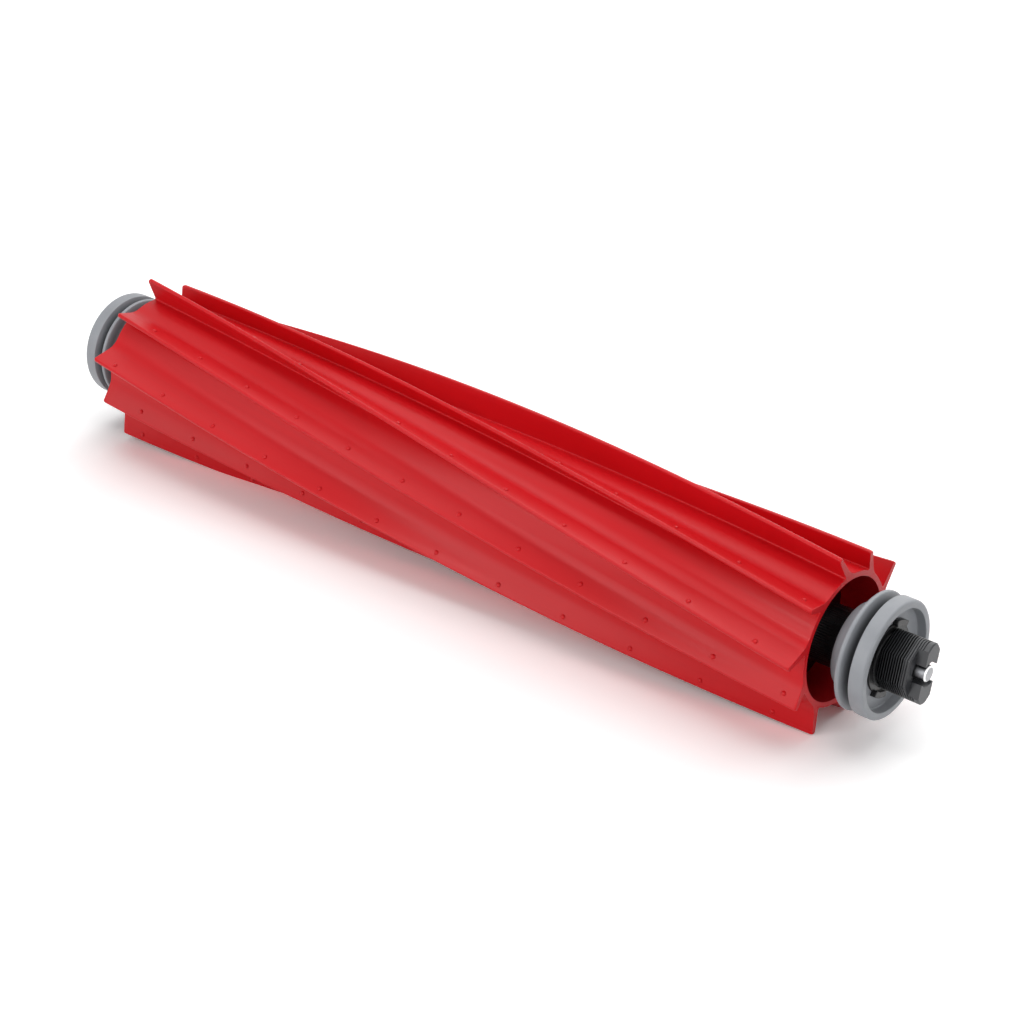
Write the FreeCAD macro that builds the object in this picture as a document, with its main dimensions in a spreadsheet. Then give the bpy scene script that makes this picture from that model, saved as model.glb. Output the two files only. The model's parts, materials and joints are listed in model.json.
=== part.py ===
import FreeCAD, Part
import math
import os
import re
import Sketcher

# Roller brush of a robot vacuum, lying on the floor as it comes to rest.
# X runs along the axle from the drive end to the bearing end, Z is up, and the
# origin is on the axle in the plane of the drive end's rim. Lengths are in mm.

SIZES = {
    # finned rubber sleeve
    "sleeve_length": 169.5,
    "sleeve_bore_radius": 11.5,
    "sleeve_wall": 1.0,
    "tall_fin_height": 4.96,
    "short_fin_height": 3.34,
    "fin_root_thickness": 1.4,
    "fin_tip_thickness": 1.0,
    "fin_lean": 9.5,
    "fin_hollow_fillet": 4.0,
    "fin_full_fillet": 0.8,
    "fin_pairs": 5,
    "fin_twist": 81.7,
    "fin_start_angle": -53.88,
    "fin_stretches": 10,
    # gaps between the sleeve and the two guard rings
    "drive_gap": 1.2,
    "bearing_gap": 2.1,
    # guard rings
    "ring_radius": 10.85,
    "ring_rim_wall": 1.43,
    "ring_rim_chamfer": 0.4,
    "ring_land_width": 2.75,
    "ring_groove_depth": 2.45,
    "ring_groove_drop": 0.5,
    "ring_groove_floor": 0.65,
    "ring_groove_rise": 0.75,
    "ring_bead_width": 0.95,
    "ring_bead_chamfer": 0.25,
    "ring_bead_back": 0.4,
    "ring_hub_drop": 1.5,
    "ring_hub_length": 2.35,
    "ring_hub_wall": 1.0,
    "ring_cup_depth": 1.9,
    "ring_web_thickness": 1.6,
    "ring_web_hole_radius": 5.0,
    # keys that turn the rings, the lock collar and the drive socket
    "key_width": 1.6,
    "key_radius": 5.7,
    # core tube and the plugs that close it
    "core_inset": 10.0,
    "core_wall": 1.95,
    "plug_neck_radius": 6.5,
    "plug_waist_radius": 5.4,
    "plug_flange_thickness": 2.0,
    "plug_spigot_length": 8.0,
    "plug_spigot_wall": 2.05,
    "plug_boss_radius": 3.2,
    "plug_boss_length": 4.0,
    # drive socket and its screw
    "socket_flange_radius": 6.2,
    "socket_flange_thickness": 1.0,
    "socket_length": 13.1,
    "socket_barrel_radius": 4.9,
    "socket_rib_length": 10.0,
    "rib_root_overlap": 0.2,
    "socket_hex_width": 7.0,
    "socket_hex_depth": 9.1,
    "screw_recess_radius": 2.4,
    "screw_head_radius": 2.2,
    "screw_head_thickness": 1.6,
    "screw_head_setback": 0.2,
    "screw_shank_radius": 1.2,
    "screw_bite": 6.0,
    "screw_slot_width": 0.6,
    "screw_slot_length": 2.6,
    "screw_slot_depth": 0.8,
    "socket_end_gap": 2.0,
    # axle pin and the insert that holds it
    "pin_radius": 1.5,
    "pin_chamfer": 0.3,
    "insert_radius": 3.0,
    "insert_length": 12.0,
    # lock collar
    "collar_radius": 6.35,
    "collar_thickness": 0.45,
    "collar_boss_radius": 5.0,
    "collar_boss_height": 0.15,
    "collar_lug_radius": 7.1,
    "collar_lug_inner_radius": 5.95,
    "collar_lug_height": 1.0,
    "collar_lug_angle": 48,
    "collar_lug_span": 35,
    "collar_lug_steps": 5,
    # spacer and dust seal
    "spacer_radius": 2.05,
    "seal_inner_radius": 2.15,
    "seal_outer_radius": 2.9,
    "seal_thickness": 0.7,
    # bearing
    "bearing_radius": 3.0,
    "bearing_width": 2.5,
    "bearing_outer_wall": 0.4,
    "bearing_inner_wall": 0.33,
    "ball_radius": 0.36,
    "ball_count": 7,
    "cage_thickness": 0.56,
    "cage_width": 1.2,
    "race_width": 0.6,
    "race_floor_width": 0.3,
    "shield_thickness": 0.15,
    "shield_setback": 0.1,
    "clip_width": 0.7,
    "clip_thickness": 0.5,
    "clip_depth": 0.2,
    "clip_opening": 2.2,
    # bearing block
    "block_half_diagonal": 6.36,
    "block_half_width": 3.9,
    "block_corner_round": 1.77,
    "block_side_round": 0.5,
    "block_inset": 1.15,
    "bearing_setback": 2.05,
    "block_front_wall": 0.9,
    "block_hole_radius": 2.3,
    "lug_length": 2.0,
    "lug_half_thickness": 1.95,
    "lug_slot_half_width": 1.65,
    "lug_chamfer": 0.25,
    "block_turn": -14.0,
    # clearances
    "slip_clearance": 0.05,
    "running_clearance": 0.02,
    "clear_hole_margin": 0.1,
    "end_clearance": 0.05,
}

GROOVE_END = "(ring_land_width + ring_groove_drop + ring_groove_floor + ring_groove_rise)"
BEAD_END = f"({GROOVE_END} + ring_bead_width)"
RING_LENGTH = f"({BEAD_END} + ring_bead_back + ring_hub_length)"
WEB_BACK = "(ring_cup_depth + ring_web_thickness)"
SLEEVE_START = f"({RING_LENGTH} + drive_gap)"
SLEEVE_END = f"({SLEEVE_START} + sleeve_length)"
BEARING_RIM = f"({SLEEVE_END} + bearing_gap + {RING_LENGTH})"
CORE_START = f"({SLEEVE_START} + core_inset)"
CORE_END = f"({SLEEVE_END} - core_inset)"
CORE_RADIUS = "(sleeve_bore_radius - slip_clearance)"
CORE_BORE = f"({CORE_RADIUS} - core_wall)"
SOCKET_FACE = "(ring_cup_depth - socket_flange_thickness)"
SCREW_SEAT = "(socket_hex_depth + screw_head_setback + screw_head_thickness)"
SOCKET_BORE_DEPTH = f"({SOCKET_FACE} + socket_length + socket_end_gap - {WEB_BACK})"
KEYWAY_DEPTH = (f"({SOCKET_FACE} + socket_flange_thickness + socket_rib_length"
                f" + clear_hole_margin - {WEB_BACK})")
COLLAR_SEAT = f"({BEARING_RIM} - ring_cup_depth)"
COLLAR_FACE = f"({COLLAR_SEAT} + collar_thickness + collar_boss_height)"
BLOCK_BACK = f"({BEARING_RIM} - block_inset)"
BEARING_SEAT = f"({BLOCK_BACK} + bearing_setback)"
BLOCK_LENGTH = "(bearing_setback + bearing_width + block_front_wall)"
BLOCK_TOTAL = f"({BLOCK_LENGTH} + lug_length)"
PIN_BORE = "(pin_radius + running_clearance)"
BALL_CIRCLE = f"(({PIN_BORE} + bearing_inner_wall + bearing_radius - bearing_outer_wall) / 2)"
RACE_REACH = "(ball_radius + slip_clearance)"

HALF_TURN = FreeCAD.Rotation(FreeCAD.Vector(0, 0, 1), 180)
Z_TO_X = FreeCAD.Rotation(FreeCAD.Vector(0, 1, 0), 90)
BOTH_SIDES = (1, -1)
SHEET_NAME = "Sizes"

os.makedirs("parts", exist_ok=True)
doc = FreeCAD.newDocument("roller_brush")
sheet = doc.addObject("Spreadsheet::Sheet", SHEET_NAME)
for row, (alias, number) in enumerate(SIZES.items(), start=1):
    sheet.set(f"A{row}", alias)
    sheet.set(f"B{row}", str(number))
    sheet.setAlias(f"B{row}", alias)
doc.recompute()


def formula(text):
    """Expression text with every size name led back to its cell in the sheet."""
    def cell(match):
        word = match.group()
        return f"{SHEET_NAME}.{word}" if word in SIZES else word
    return re.sub(r"[a-z][a-z_]+", cell, text)


def value(text):
    """Present number of an expression over the sizes."""
    return float(sheet.evalExpression(formula(text)))


def new_body(label, start="0", rotation=None):
    """A body whose own origin stands on the axle at the station `start`."""
    body = doc.addObject("PartDesign::Body", label)
    body.Label = label
    if rotation is not None:
        body.Placement = FreeCAD.Placement(FreeCAD.Vector(), rotation)
    body.setExpression("Placement.Base.x", formula(start))
    return body


def origin_item(body, role):
    """One of the body's own origin planes or axes."""
    return next(item for item in body.Origin.OriginFeatures if item.Role == role)


def new_sketch(body, name, plane="XZ_Plane", station=None):
    """A sketch on the axle's long section, or across the axle at a station."""
    sketch = body.newObject("Sketcher::SketchObject", f"{body.Label}_{name}")
    sketch.AttachmentSupport = [(origin_item(body, plane), "")]
    sketch.MapMode = "FlatFace"
    if station is not None:
        sketch.setExpression("AttachmentOffset.Base.z", formula(station))
    return sketch


def fix_point(sketch, piece, point, across, along):
    """Holds one point of a sketch at two expressions measured from its origin."""
    for kind, text, axis in (("DistanceX", across, -2), ("DistanceY", along, -1)):
        if text == "0":
            sketch.addConstraint(Sketcher.Constraint("PointOnObject", piece, point, axis))
            continue
        rule = sketch.addConstraint(Sketcher.Constraint(kind, -1, 1, piece, point, value(text)))
        sketch.setExpression(f"Constraints[{rule}]", formula(text))


def add_outline(sketch, corners):
    """Closed outline of straight lines through corners given as pairs of expressions."""
    points = [FreeCAD.Vector(value(across), value(along), 0) for across, along in corners]
    first = sketch.GeometryCount
    count = len(points)
    for index, point in enumerate(points):
        sketch.addGeometry(Part.LineSegment(point, points[(index + 1) % count]))
    for index, (across, along) in enumerate(corners):
        following = first + (index + 1) % count
        sketch.addConstraint(Sketcher.Constraint("Coincident", first + index, 2, following, 1))
        fix_point(sketch, first + index, 1, across, along)


def add_rectangle(sketch, left, right, low, high):
    """Upright rectangle between two pairs of expressions."""
    add_outline(sketch, [(left, low), (right, low), (right, high), (left, high)])


def add_feature(body, kind, name, sketch):
    """A feature of the body that uses a sketch as its profile."""
    feature = body.newObject(f"PartDesign::{kind}", f"{body.Label}_{name}")
    feature.Profile = sketch
    return feature


def turn_profile(body, name, corners, kind="Revolution"):
    """Turns a long-section outline about the axle, adding or cutting."""
    sketch = new_sketch(body, f"{name}_section")
    add_outline(sketch, corners)
    feature = add_feature(body, kind, name, sketch)
    feature.ReferenceAxis = (sketch, ["H_Axis"])
    feature.Angle = 360
    return feature


def raise_profile(body, name, station, length, draw, kind="Pad"):
    """Pads a cross-section towards +X, or pockets it towards -X, from a station."""
    sketch = new_sketch(body, f"{name}_section", "YZ_Plane", station)
    draw(sketch)
    feature = add_feature(body, kind, name, sketch)
    feature.setExpression("Length", formula(length))
    return feature


def draw_key_pair(width, inner, outer):
    """Drawing function for two rectangles, above and below the axle."""
    def draw(sketch):
        for side in BOTH_SIDES:
            add_rectangle(sketch, f"-{width} / 2", f"{width} / 2",
                          f"{side} * {inner}", f"{side} * {outer}")
    return draw


def edges_where(shape, test):
    """Names of the edges whose every end passes a test."""
    return [f"Edge{number}" for number, edge in enumerate(shape.Edges, start=1)
            if all(test(vertex.Point) for vertex in edge.Vertexes)]


def dress_edges(body, kind, name, base, size, test):
    """Rounds or chamfers the edges of the last feature that pass a test."""
    doc.recompute()
    feature = body.newObject(f"PartDesign::{kind}", f"{body.Label}_{name}")
    feature.Base = (base, edges_where(base.Shape, test))
    feature.setExpression("Radius" if kind == "Fillet" else "Size", formula(size))
    return feature


def near(first, second):
    """True where two lengths are the same to a thousandth of a millimetre."""
    return abs(first - second) < 1e-3


# Sleeve: five pairs of a tall and a short fin, leaning over and twisted along the axle.

def on_circle(station, radius, angle):
    """Point at a station along the axle, with its angle measured from +Y towards +Z."""
    turn = math.radians(angle)
    return FreeCAD.Vector(station, radius * math.cos(turn), radius * math.sin(turn))


def fin_flank(root, tip, side, fillet, wall_radius):
    """One flank: the wall point, the middle and end of its root fillet, and the tip corner.

    The fillet is an arc that leaves the round wall and meets the straight flank, both
    without a kink. `side` is the unit vector away from the fin's middle line.
    """
    foot = root + side * (value("fin_root_thickness") / 2)
    corner = tip + side * (value("fin_tip_thickness") / 2)
    rise = (corner - foot).normalize()
    outward = side - rise * side.dot(rise)
    guide = foot + outward.normalize() * fillet
    guide_in_section = FreeCAD.Vector(0, guide.y, guide.z)
    half = guide_in_section.dot(rise)
    reach = guide_in_section.dot(guide_in_section) - (wall_radius + fillet) ** 2
    travel = math.sqrt(half * half - reach) - half
    centre = guide + rise * travel
    flank_end = foot + rise * travel
    axle_point = FreeCAD.Vector(centre.x, 0, 0)
    wall_end = axle_point + (centre - axle_point) * (wall_radius / (wall_radius + fillet))
    bisector = (flank_end - centre).normalize() + (wall_end - centre).normalize()
    middle = centre + bisector.normalize() * fillet
    return wall_end, middle, flank_end, corner


def fin_corners(station, angle, height):
    """Points of both flanks of one fin whose tip lies at an angle."""
    wall_radius = value("sleeve_bore_radius + sleeve_wall")
    root = on_circle(station, wall_radius, angle - value("fin_lean"))
    tip = on_circle(station, wall_radius + height, angle)
    across = FreeCAD.Vector(1, 0, 0).cross((tip - root).normalize())
    hollow = fin_flank(root, tip, across * -1, value("fin_hollow_fillet"), wall_radius)
    full = fin_flank(root, tip, across, value("fin_full_fillet"), wall_radius)
    return hollow, full


def sleeve_section(station, start_angle):
    """Outer outline of the sleeve across the axle: tall and short fins by turns."""
    heights = [value("tall_fin_height"), value("short_fin_height")]
    fin_count = len(heights) * int(value("fin_pairs"))
    step = 360 / fin_count
    wall_radius = value("sleeve_bore_radius + sleeve_wall")
    fins = [fin_corners(station, start_angle + step * index, heights[index % len(heights)])
            for index in range(fin_count)]
    axle_point = FreeCAD.Vector(station, 0, 0)
    edges = []
    for index, (hollow, full) in enumerate(fins):
        wall_start, hollow_middle, hollow_end, hollow_corner = hollow
        wall_end, full_middle, full_end, full_corner = full
        next_wall_start = fins[(index + 1) % fin_count][0][0]
        outward = (wall_end - axle_point) + (next_wall_start - axle_point)
        wall_middle = axle_point + outward.normalize() * wall_radius
        edges += [
            Part.Arc(wall_start, hollow_middle, hollow_end).toShape(),
            Part.LineSegment(hollow_end, hollow_corner).toShape(),
            Part.LineSegment(hollow_corner, full_corner).toShape(),
            Part.LineSegment(full_corner, full_end).toShape(),
            Part.Arc(full_end, full_middle, wall_end).toShape(),
            Part.Arc(wall_end, wall_middle, next_wall_start).toShape(),
        ]
    return Part.Wire(edges)


def make_brush_sleeve():
    """Finned sleeve: twisted fins, a plain bore, and the flat that it rests on."""
    stretches = int(value("fin_stretches"))
    length = value("sleeve_length")
    sections = []
    for index in range(stretches + 1):
        share = index / stretches
        angle = value("fin_start_angle") + value("fin_twist") * share
        sections.append(sleeve_section(length * share, angle))
    fins = doc.addObject("Part::Feature", "sleeve_fins")
    fins.Shape = Part.makeLoft(sections, True, True)

    bore = doc.addObject("Part::Cylinder", "sleeve_bore")
    bore.Placement = FreeCAD.Placement(FreeCAD.Vector(), Z_TO_X)
    bore.setExpression("Radius", formula("sleeve_bore_radius"))
    bore.setExpression("Height", formula("sleeve_length"))
    bored = doc.addObject("Part::Cut", "bored_sleeve")
    bored.Base = fins
    bored.Tool = bore

    wall_radius = "(sleeve_bore_radius + sleeve_wall)"
    floor = doc.addObject("Part::Box", "sleeve_floor")
    floor.setExpression("Length", formula("sleeve_length"))
    floor.setExpression("Width", formula(f"2 * ({wall_radius} + tall_fin_height)"))
    floor.setExpression("Height", formula(f"{wall_radius} + tall_fin_height"))
    floor.setExpression("Placement.Base.y", formula(f"-({wall_radius} + tall_fin_height)"))
    floor.setExpression("Placement.Base.z",
                        formula(f"-(2 * {wall_radius} + short_fin_height + tall_fin_height)"))
    sleeve = doc.addObject("Part::Cut", "brush_sleeve")
    sleeve.Base = bored
    sleeve.Tool = floor
    sleeve.setExpression("Placement.Base.x", formula(SLEEVE_START))
    return sleeve


# Core: a plain tube closed by a plug at each end, whose necks carry the guard rings.

def make_core_tube():
    """Plain tube inside the sleeve."""
    body = new_body("core_tube", CORE_START)
    length = f"{CORE_END} - {CORE_START}"
    turn_profile(body, "tube", [("0", CORE_BORE), (length, CORE_BORE),
                                (length, CORE_RADIUS), ("0", CORE_RADIUS)])
    return body


def make_plug(label, neck_length, start, rotation, waist, bores):
    """Moulded plug, from its neck's outer end inwards: neck, flange, cored spigot.

    `waist` lists the corners between the neck's outer corner and its flange.
    """
    body = new_body(label, start, rotation)
    flange_back = f"({neck_length} + plug_flange_thickness)"
    spigot_end = f"({flange_back} + plug_spigot_length)"
    spigot_radius = f"({CORE_BORE} - slip_clearance)"
    cored_radius = f"({spigot_radius} - plug_spigot_wall)"
    boss_end = f"({flange_back} + plug_boss_length)"
    turn_profile(body, "shell", [
        ("0", "0"), ("0", "plug_neck_radius"), *waist,
        (neck_length, CORE_RADIUS), (flange_back, CORE_RADIUS),
        (flange_back, spigot_radius), (spigot_end, spigot_radius),
        (spigot_end, cored_radius), (flange_back, cored_radius),
        (flange_back, "plug_boss_radius"), (boss_end, "plug_boss_radius"), (boss_end, "0"),
    ])
    turn_profile(body, "bore", bores, "Groove")
    return body


def make_drive_end_plug():
    """Plug whose neck takes the drive socket, with two keyways and a screw hole."""
    bore_radius = "(socket_barrel_radius + slip_clearance)"
    hole_end = f"({SOCKET_BORE_DEPTH} + screw_bite)"
    neck_length = f"({CORE_START} - plug_flange_thickness - {WEB_BACK})"
    body = make_plug("drive_end_plug", neck_length, WEB_BACK, None,
                     [(neck_length, "plug_neck_radius")], [
        ("0", "0"), ("0", bore_radius), (SOCKET_BORE_DEPTH, bore_radius),
        (SOCKET_BORE_DEPTH, "screw_shank_radius"), (hole_end, "screw_shank_radius"),
        (hole_end, "0"),
    ])
    raise_profile(body, "keyways", KEYWAY_DEPTH, KEYWAY_DEPTH,
                  draw_key_pair("(key_width + 2 * slip_clearance)", "(key_radius / 2)",
                                "(key_radius + slip_clearance)"), "Pocket")
    return body


def make_bearing_end_plug():
    """Plug with a waist behind the ring's hub, bored for the insert that holds the pin."""
    neck_length = f"({BEARING_RIM} - {WEB_BACK} - {CORE_END} - plug_flange_thickness)"
    hub_end = f"({RING_LENGTH} - {WEB_BACK})"
    waist = [(hub_end, "plug_neck_radius"), (hub_end, "plug_waist_radius"),
             (neck_length, "plug_waist_radius")]
    return make_plug("bearing_end_plug", neck_length, f"{BEARING_RIM} - {WEB_BACK}", HALF_TURN,
                     waist, [
        ("0", "0"), ("0", "insert_radius"), ("insert_length", "insert_radius"),
        ("insert_length", "0"),
    ])


def make_guard_ring(label, start, rotation):
    """Hair guard from its rim inwards: cup, land, deep groove, thin bead, tapered hub."""
    body = new_body(label, start, rotation)
    cup_radius = "(ring_radius - ring_rim_wall)"
    floor_radius = "(ring_radius - ring_groove_depth)"
    floor_start = "(ring_land_width + ring_groove_drop)"
    shoulder_radius = "(ring_radius - ring_bead_chamfer)"
    turn_profile(body, "ring", [
        ("0", cup_radius), ("0", "(ring_radius - ring_rim_chamfer)"),
        ("ring_rim_chamfer", "ring_radius"), ("ring_land_width", "ring_radius"),
        (floor_start, floor_radius), (f"({floor_start} + ring_groove_floor)", floor_radius),
        (GROOVE_END, shoulder_radius), (f"({GROOVE_END} + ring_bead_chamfer)", "ring_radius"),
        (f"({BEAD_END} - ring_bead_chamfer)", "ring_radius"), (BEAD_END, shoulder_radius),
        (f"({BEAD_END} + ring_bead_back)", "(ring_radius - ring_hub_drop)"),
        (RING_LENGTH, "(plug_neck_radius + ring_hub_wall)"),
        (RING_LENGTH, "plug_neck_radius"), (WEB_BACK, "plug_neck_radius"),
        (WEB_BACK, "ring_web_hole_radius"), ("ring_cup_depth", "ring_web_hole_radius"),
        ("ring_cup_depth", cup_radius),
    ])
    raise_profile(body, "notches", WEB_BACK, "ring_web_thickness",
                  draw_key_pair("(key_width + 2 * slip_clearance)", "(key_radius / 2)",
                                "(key_radius + slip_clearance)"), "Pocket")
    return body


# Drive end: a keyed socket for the gearbox's hexagonal shaft, held by one screw.

def draw_hexagon(width):
    """Drawing function for a hexagon with two flats level, given its width across flats."""
    def draw(sketch):
        half_width = f"{width} / 2"
        half_side = f"{width} / 2 / sqrt(3)"
        point = f"{width} / sqrt(3)"
        add_outline(sketch, [
            (point, "0"), (half_side, half_width), (f"-{half_side}", half_width),
            (f"-{point}", "0"), (f"-{half_side}", f"-{half_width}"),
            (half_side, f"-{half_width}"),
        ])
    return draw


def make_drive_socket():
    """Flanged barrel with a hexagonal recess, a screw seat and two key ribs."""
    body = new_body("drive_socket", SOCKET_FACE)
    turn_profile(body, "barrel", [
        ("0", "0"), ("0", "socket_flange_radius"),
        ("socket_flange_thickness", "socket_flange_radius"),
        ("socket_flange_thickness", "socket_barrel_radius"),
        ("socket_length", "socket_barrel_radius"), ("socket_length", "0"),
    ])
    raise_profile(body, "ribs", "socket_flange_thickness", "socket_rib_length",
                  draw_key_pair("key_width", "(socket_barrel_radius - rib_root_overlap)",
                                "key_radius"))
    raise_profile(body, "hexagon", "socket_hex_depth", "socket_hex_depth",
                  draw_hexagon("socket_hex_width"), "Pocket")
    hole_radius = "(screw_shank_radius + clear_hole_margin)"
    turn_profile(body, "screw_seat", [
        ("socket_hex_depth", "0"), ("socket_hex_depth", "screw_recess_radius"),
        (SCREW_SEAT, "screw_recess_radius"), (SCREW_SEAT, hole_radius),
        ("socket_length", hole_radius), ("socket_length", "0"),
    ], "Groove")
    return body


def make_drive_socket_screw():
    """Pan head screw with a cross recess, from its head's top inwards."""
    body = new_body("drive_socket_screw", f"{SOCKET_FACE} + {SCREW_SEAT} - screw_head_thickness")
    point = (f"({WEB_BACK} + {SOCKET_BORE_DEPTH} + screw_bite - {SOCKET_FACE} - {SCREW_SEAT}"
             " + screw_head_thickness)")
    turn_profile(body, "screw", [
        ("0", "0"), ("0", "screw_head_radius"), ("screw_head_thickness", "screw_head_radius"),
        ("screw_head_thickness", "screw_shank_radius"), (point, "screw_shank_radius"),
        (point, "0"),
    ])
    for name, width, height in (("level", "screw_slot_length", "screw_slot_width"),
                                ("upright", "screw_slot_width", "screw_slot_length")):
        raise_profile(body, f"{name}_slot", "screw_slot_depth", "screw_slot_depth",
                      lambda sketch: add_rectangle(sketch, f"-{width} / 2", f"{width} / 2",
                                                   f"-{height} / 2", f"{height} / 2"), "Pocket")
    return body


# Bearing end: the pin, the collar that locks the ring, and the rings round the pin.

def make_tube(label, start, length, inner, outer):
    """Plain ring or tube about the axle."""
    body = new_body(label, start)
    turn_profile(body, "ring", [("0", inner), (length, inner), (length, outer), ("0", outer)])
    return body


def make_pin_insert():
    """Brass insert pressed into the plug's neck."""
    return make_tube("pin_insert", f"{BEARING_RIM} - {WEB_BACK} - insert_length",
                     "insert_length", "pin_radius", "insert_radius")


def make_axle_pin():
    """Steel pin from the insert's blind end to the ends of the block's lugs."""
    body = new_body("axle_pin", f"{BEARING_RIM} - {WEB_BACK} - insert_length")
    length = f"({BLOCK_BACK} + {BLOCK_TOTAL} - {BEARING_RIM} + {WEB_BACK} + insert_length)"
    tip_radius = "(pin_radius - pin_chamfer)"
    turn_profile(body, "pin", [
        ("0", "0"), ("0", tip_radius), ("pin_chamfer", "pin_radius"),
        (f"{length} - pin_chamfer", "pin_radius"), (length, tip_radius), (length, "0"),
    ])
    return body


def draw_rim_lugs(sketch):
    """Two lugs on the collar's rim, opposite each other, each a sector of a ring."""
    steps = int(value("collar_lug_steps"))
    turns = [f"(collar_lug_angle + collar_lug_span * {step} / {steps})"
             for step in range(steps + 1)]
    arc = [("collar_lug_radius", turn) for turn in turns]
    arc += [("collar_lug_inner_radius", turn) for turn in reversed(turns)]
    for side in BOTH_SIDES:
        add_outline(sketch, [(f"{side} * {radius} * cos({turn})", f"{side} * {radius} * sin({turn})")
                             for radius, turn in arc])


def make_lock_collar():
    """Disc in the ring's cup, with a raised boss, a keyed spigot and two rim lugs."""
    body = new_body("lock_collar", COLLAR_SEAT)
    spigot_length = "(ring_web_thickness - end_clearance)"
    hole_radius = "(pin_radius + clear_hole_margin)"
    boss_face = "(collar_thickness + collar_boss_height)"
    spigot_radius = "(ring_web_hole_radius - clear_hole_margin)"
    turn_profile(body, "disc", [
        (f"-{spigot_length}", hole_radius), (boss_face, hole_radius),
        (boss_face, "collar_boss_radius"), ("collar_thickness", "collar_boss_radius"),
        ("collar_thickness", "collar_radius"), ("0", "collar_radius"),
        ("0", spigot_radius), (f"-{spigot_length}", spigot_radius),
    ])
    raise_profile(body, "keys", f"-{spigot_length}", spigot_length,
                  draw_key_pair("key_width", "(ring_web_hole_radius / 2)", "key_radius"))
    raise_profile(body, "rim_lugs", "0", "collar_lug_height", draw_rim_lugs)
    return body


def make_spacer():
    """Brass washer that keeps the bearing's inner ring off the collar."""
    length = f"({BEARING_SEAT} - end_clearance - {COLLAR_FACE})"
    return make_tube("bearing_spacer", COLLAR_FACE, length, PIN_BORE, "spacer_radius")


def make_dust_seal():
    """Felt ring on the collar, round the spacer, inside the block's mouth."""
    return make_tube("dust_seal", COLLAR_FACE, "seal_thickness",
                     "seal_inner_radius", "seal_outer_radius")


# Ball bearing: two races, a cage with its balls, two shields and a spring clip.

def race_profile(plain_radius, floor_radius, back_radius):
    """Section of a race: a ring with a shallow track at the middle of its width."""
    middle = "bearing_width / 2"
    return [
        ("0", plain_radius), (f"{middle} - race_width / 2", plain_radius),
        (f"{middle} - race_floor_width / 2", floor_radius),
        (f"{middle} + race_floor_width / 2", floor_radius),
        (f"{middle} + race_width / 2", plain_radius), ("bearing_width", plain_radius),
        ("bearing_width", back_radius), ("0", back_radius),
    ]


def make_bearing_races():
    """Inner race on the pin and outer race in the block."""
    inner = new_body("bearing_inner_ring", BEARING_SEAT)
    turn_profile(inner, "race", race_profile(f"({PIN_BORE} + bearing_inner_wall)",
                                             f"({BALL_CIRCLE} - {RACE_REACH})", PIN_BORE))
    outer = new_body("bearing_outer_ring", BEARING_SEAT)
    turn_profile(outer, "race", race_profile("(bearing_radius - bearing_outer_wall)",
                                             f"({BALL_CIRCLE} + {RACE_REACH})", "bearing_radius"))
    return [inner, outer]


def make_ball_cage():
    """Cage ring with its captive balls."""
    cage = doc.addObject("Part::Feature", "cage_ring")
    circle = value(BALL_CIRCLE)
    half_wall = value("cage_thickness / 2")
    middle = value("bearing_width / 2")
    start = FreeCAD.Vector(middle - value("cage_width / 2"), 0, 0)
    axle = FreeCAD.Vector(1, 0, 0)
    ring = Part.makeCylinder(circle + half_wall, value("cage_width"), start, axle)
    ring = ring.cut(Part.makeCylinder(circle - half_wall, value("cage_width"), start, axle))
    count = int(value("ball_count"))
    balls = [Part.makeSphere(value("ball_radius"), on_circle(middle, circle, 360 * index / count))
             for index in range(count)]
    cage.Shape = ring.fuse(balls)
    cage.Label = "ball_cage"
    cage.setExpression("Placement.Base.x", formula(BEARING_SEAT))
    return cage


def make_shields():
    """Pressed shields that close both sides of the bearing."""
    inner = f"({PIN_BORE} + bearing_inner_wall + clear_hole_margin)"
    outer = "(bearing_radius - bearing_outer_wall)"
    inboard = make_tube("inboard_shield", f"{BEARING_SEAT} + shield_setback",
                        "shield_thickness", inner, outer)
    outboard = make_tube("outboard_shield",
                         f"{BEARING_SEAT} + bearing_width - shield_setback - shield_thickness",
                         "shield_thickness", inner, outer)
    return [inboard, outboard]


def make_bearing_clip():
    """Open spring ring in the block's groove, behind the bearing."""
    start = f"{BEARING_SEAT} - clip_thickness - clear_hole_margin"
    outer = "(bearing_radius + clip_depth - running_clearance)"
    body = make_tube("bearing_clip", start, "clip_thickness", f"({outer} - clip_width)", outer)
    raise_profile(body, "opening", "clip_thickness", "clip_thickness",
                  lambda sketch: add_rectangle(sketch, "-clip_opening / 2", "clip_opening / 2",
                                               "bearing_radius / 2", f"2 * {outer}"), "Pocket")
    return body


# Bearing block: a turned square between two side flats, with two lugs on its face.

def add_round_corner(sketch, across, along, radius, start_angle, end_angle):
    """Arc of a rounded corner, held by its centre and radius."""
    circle = Part.Circle(FreeCAD.Vector(value(across), value(along), 0),
                         FreeCAD.Vector(0, 0, 1), value(radius))
    arc = Part.ArcOfCircle(circle, math.radians(start_angle), math.radians(end_angle))
    piece = sketch.addGeometry(arc)
    fix_point(sketch, piece, 3, across, along)
    rule = sketch.addConstraint(Sketcher.Constraint("Radius", piece, value(radius)))
    sketch.setExpression(f"Constraints[{rule}]", formula(radius))
    return piece


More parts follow.
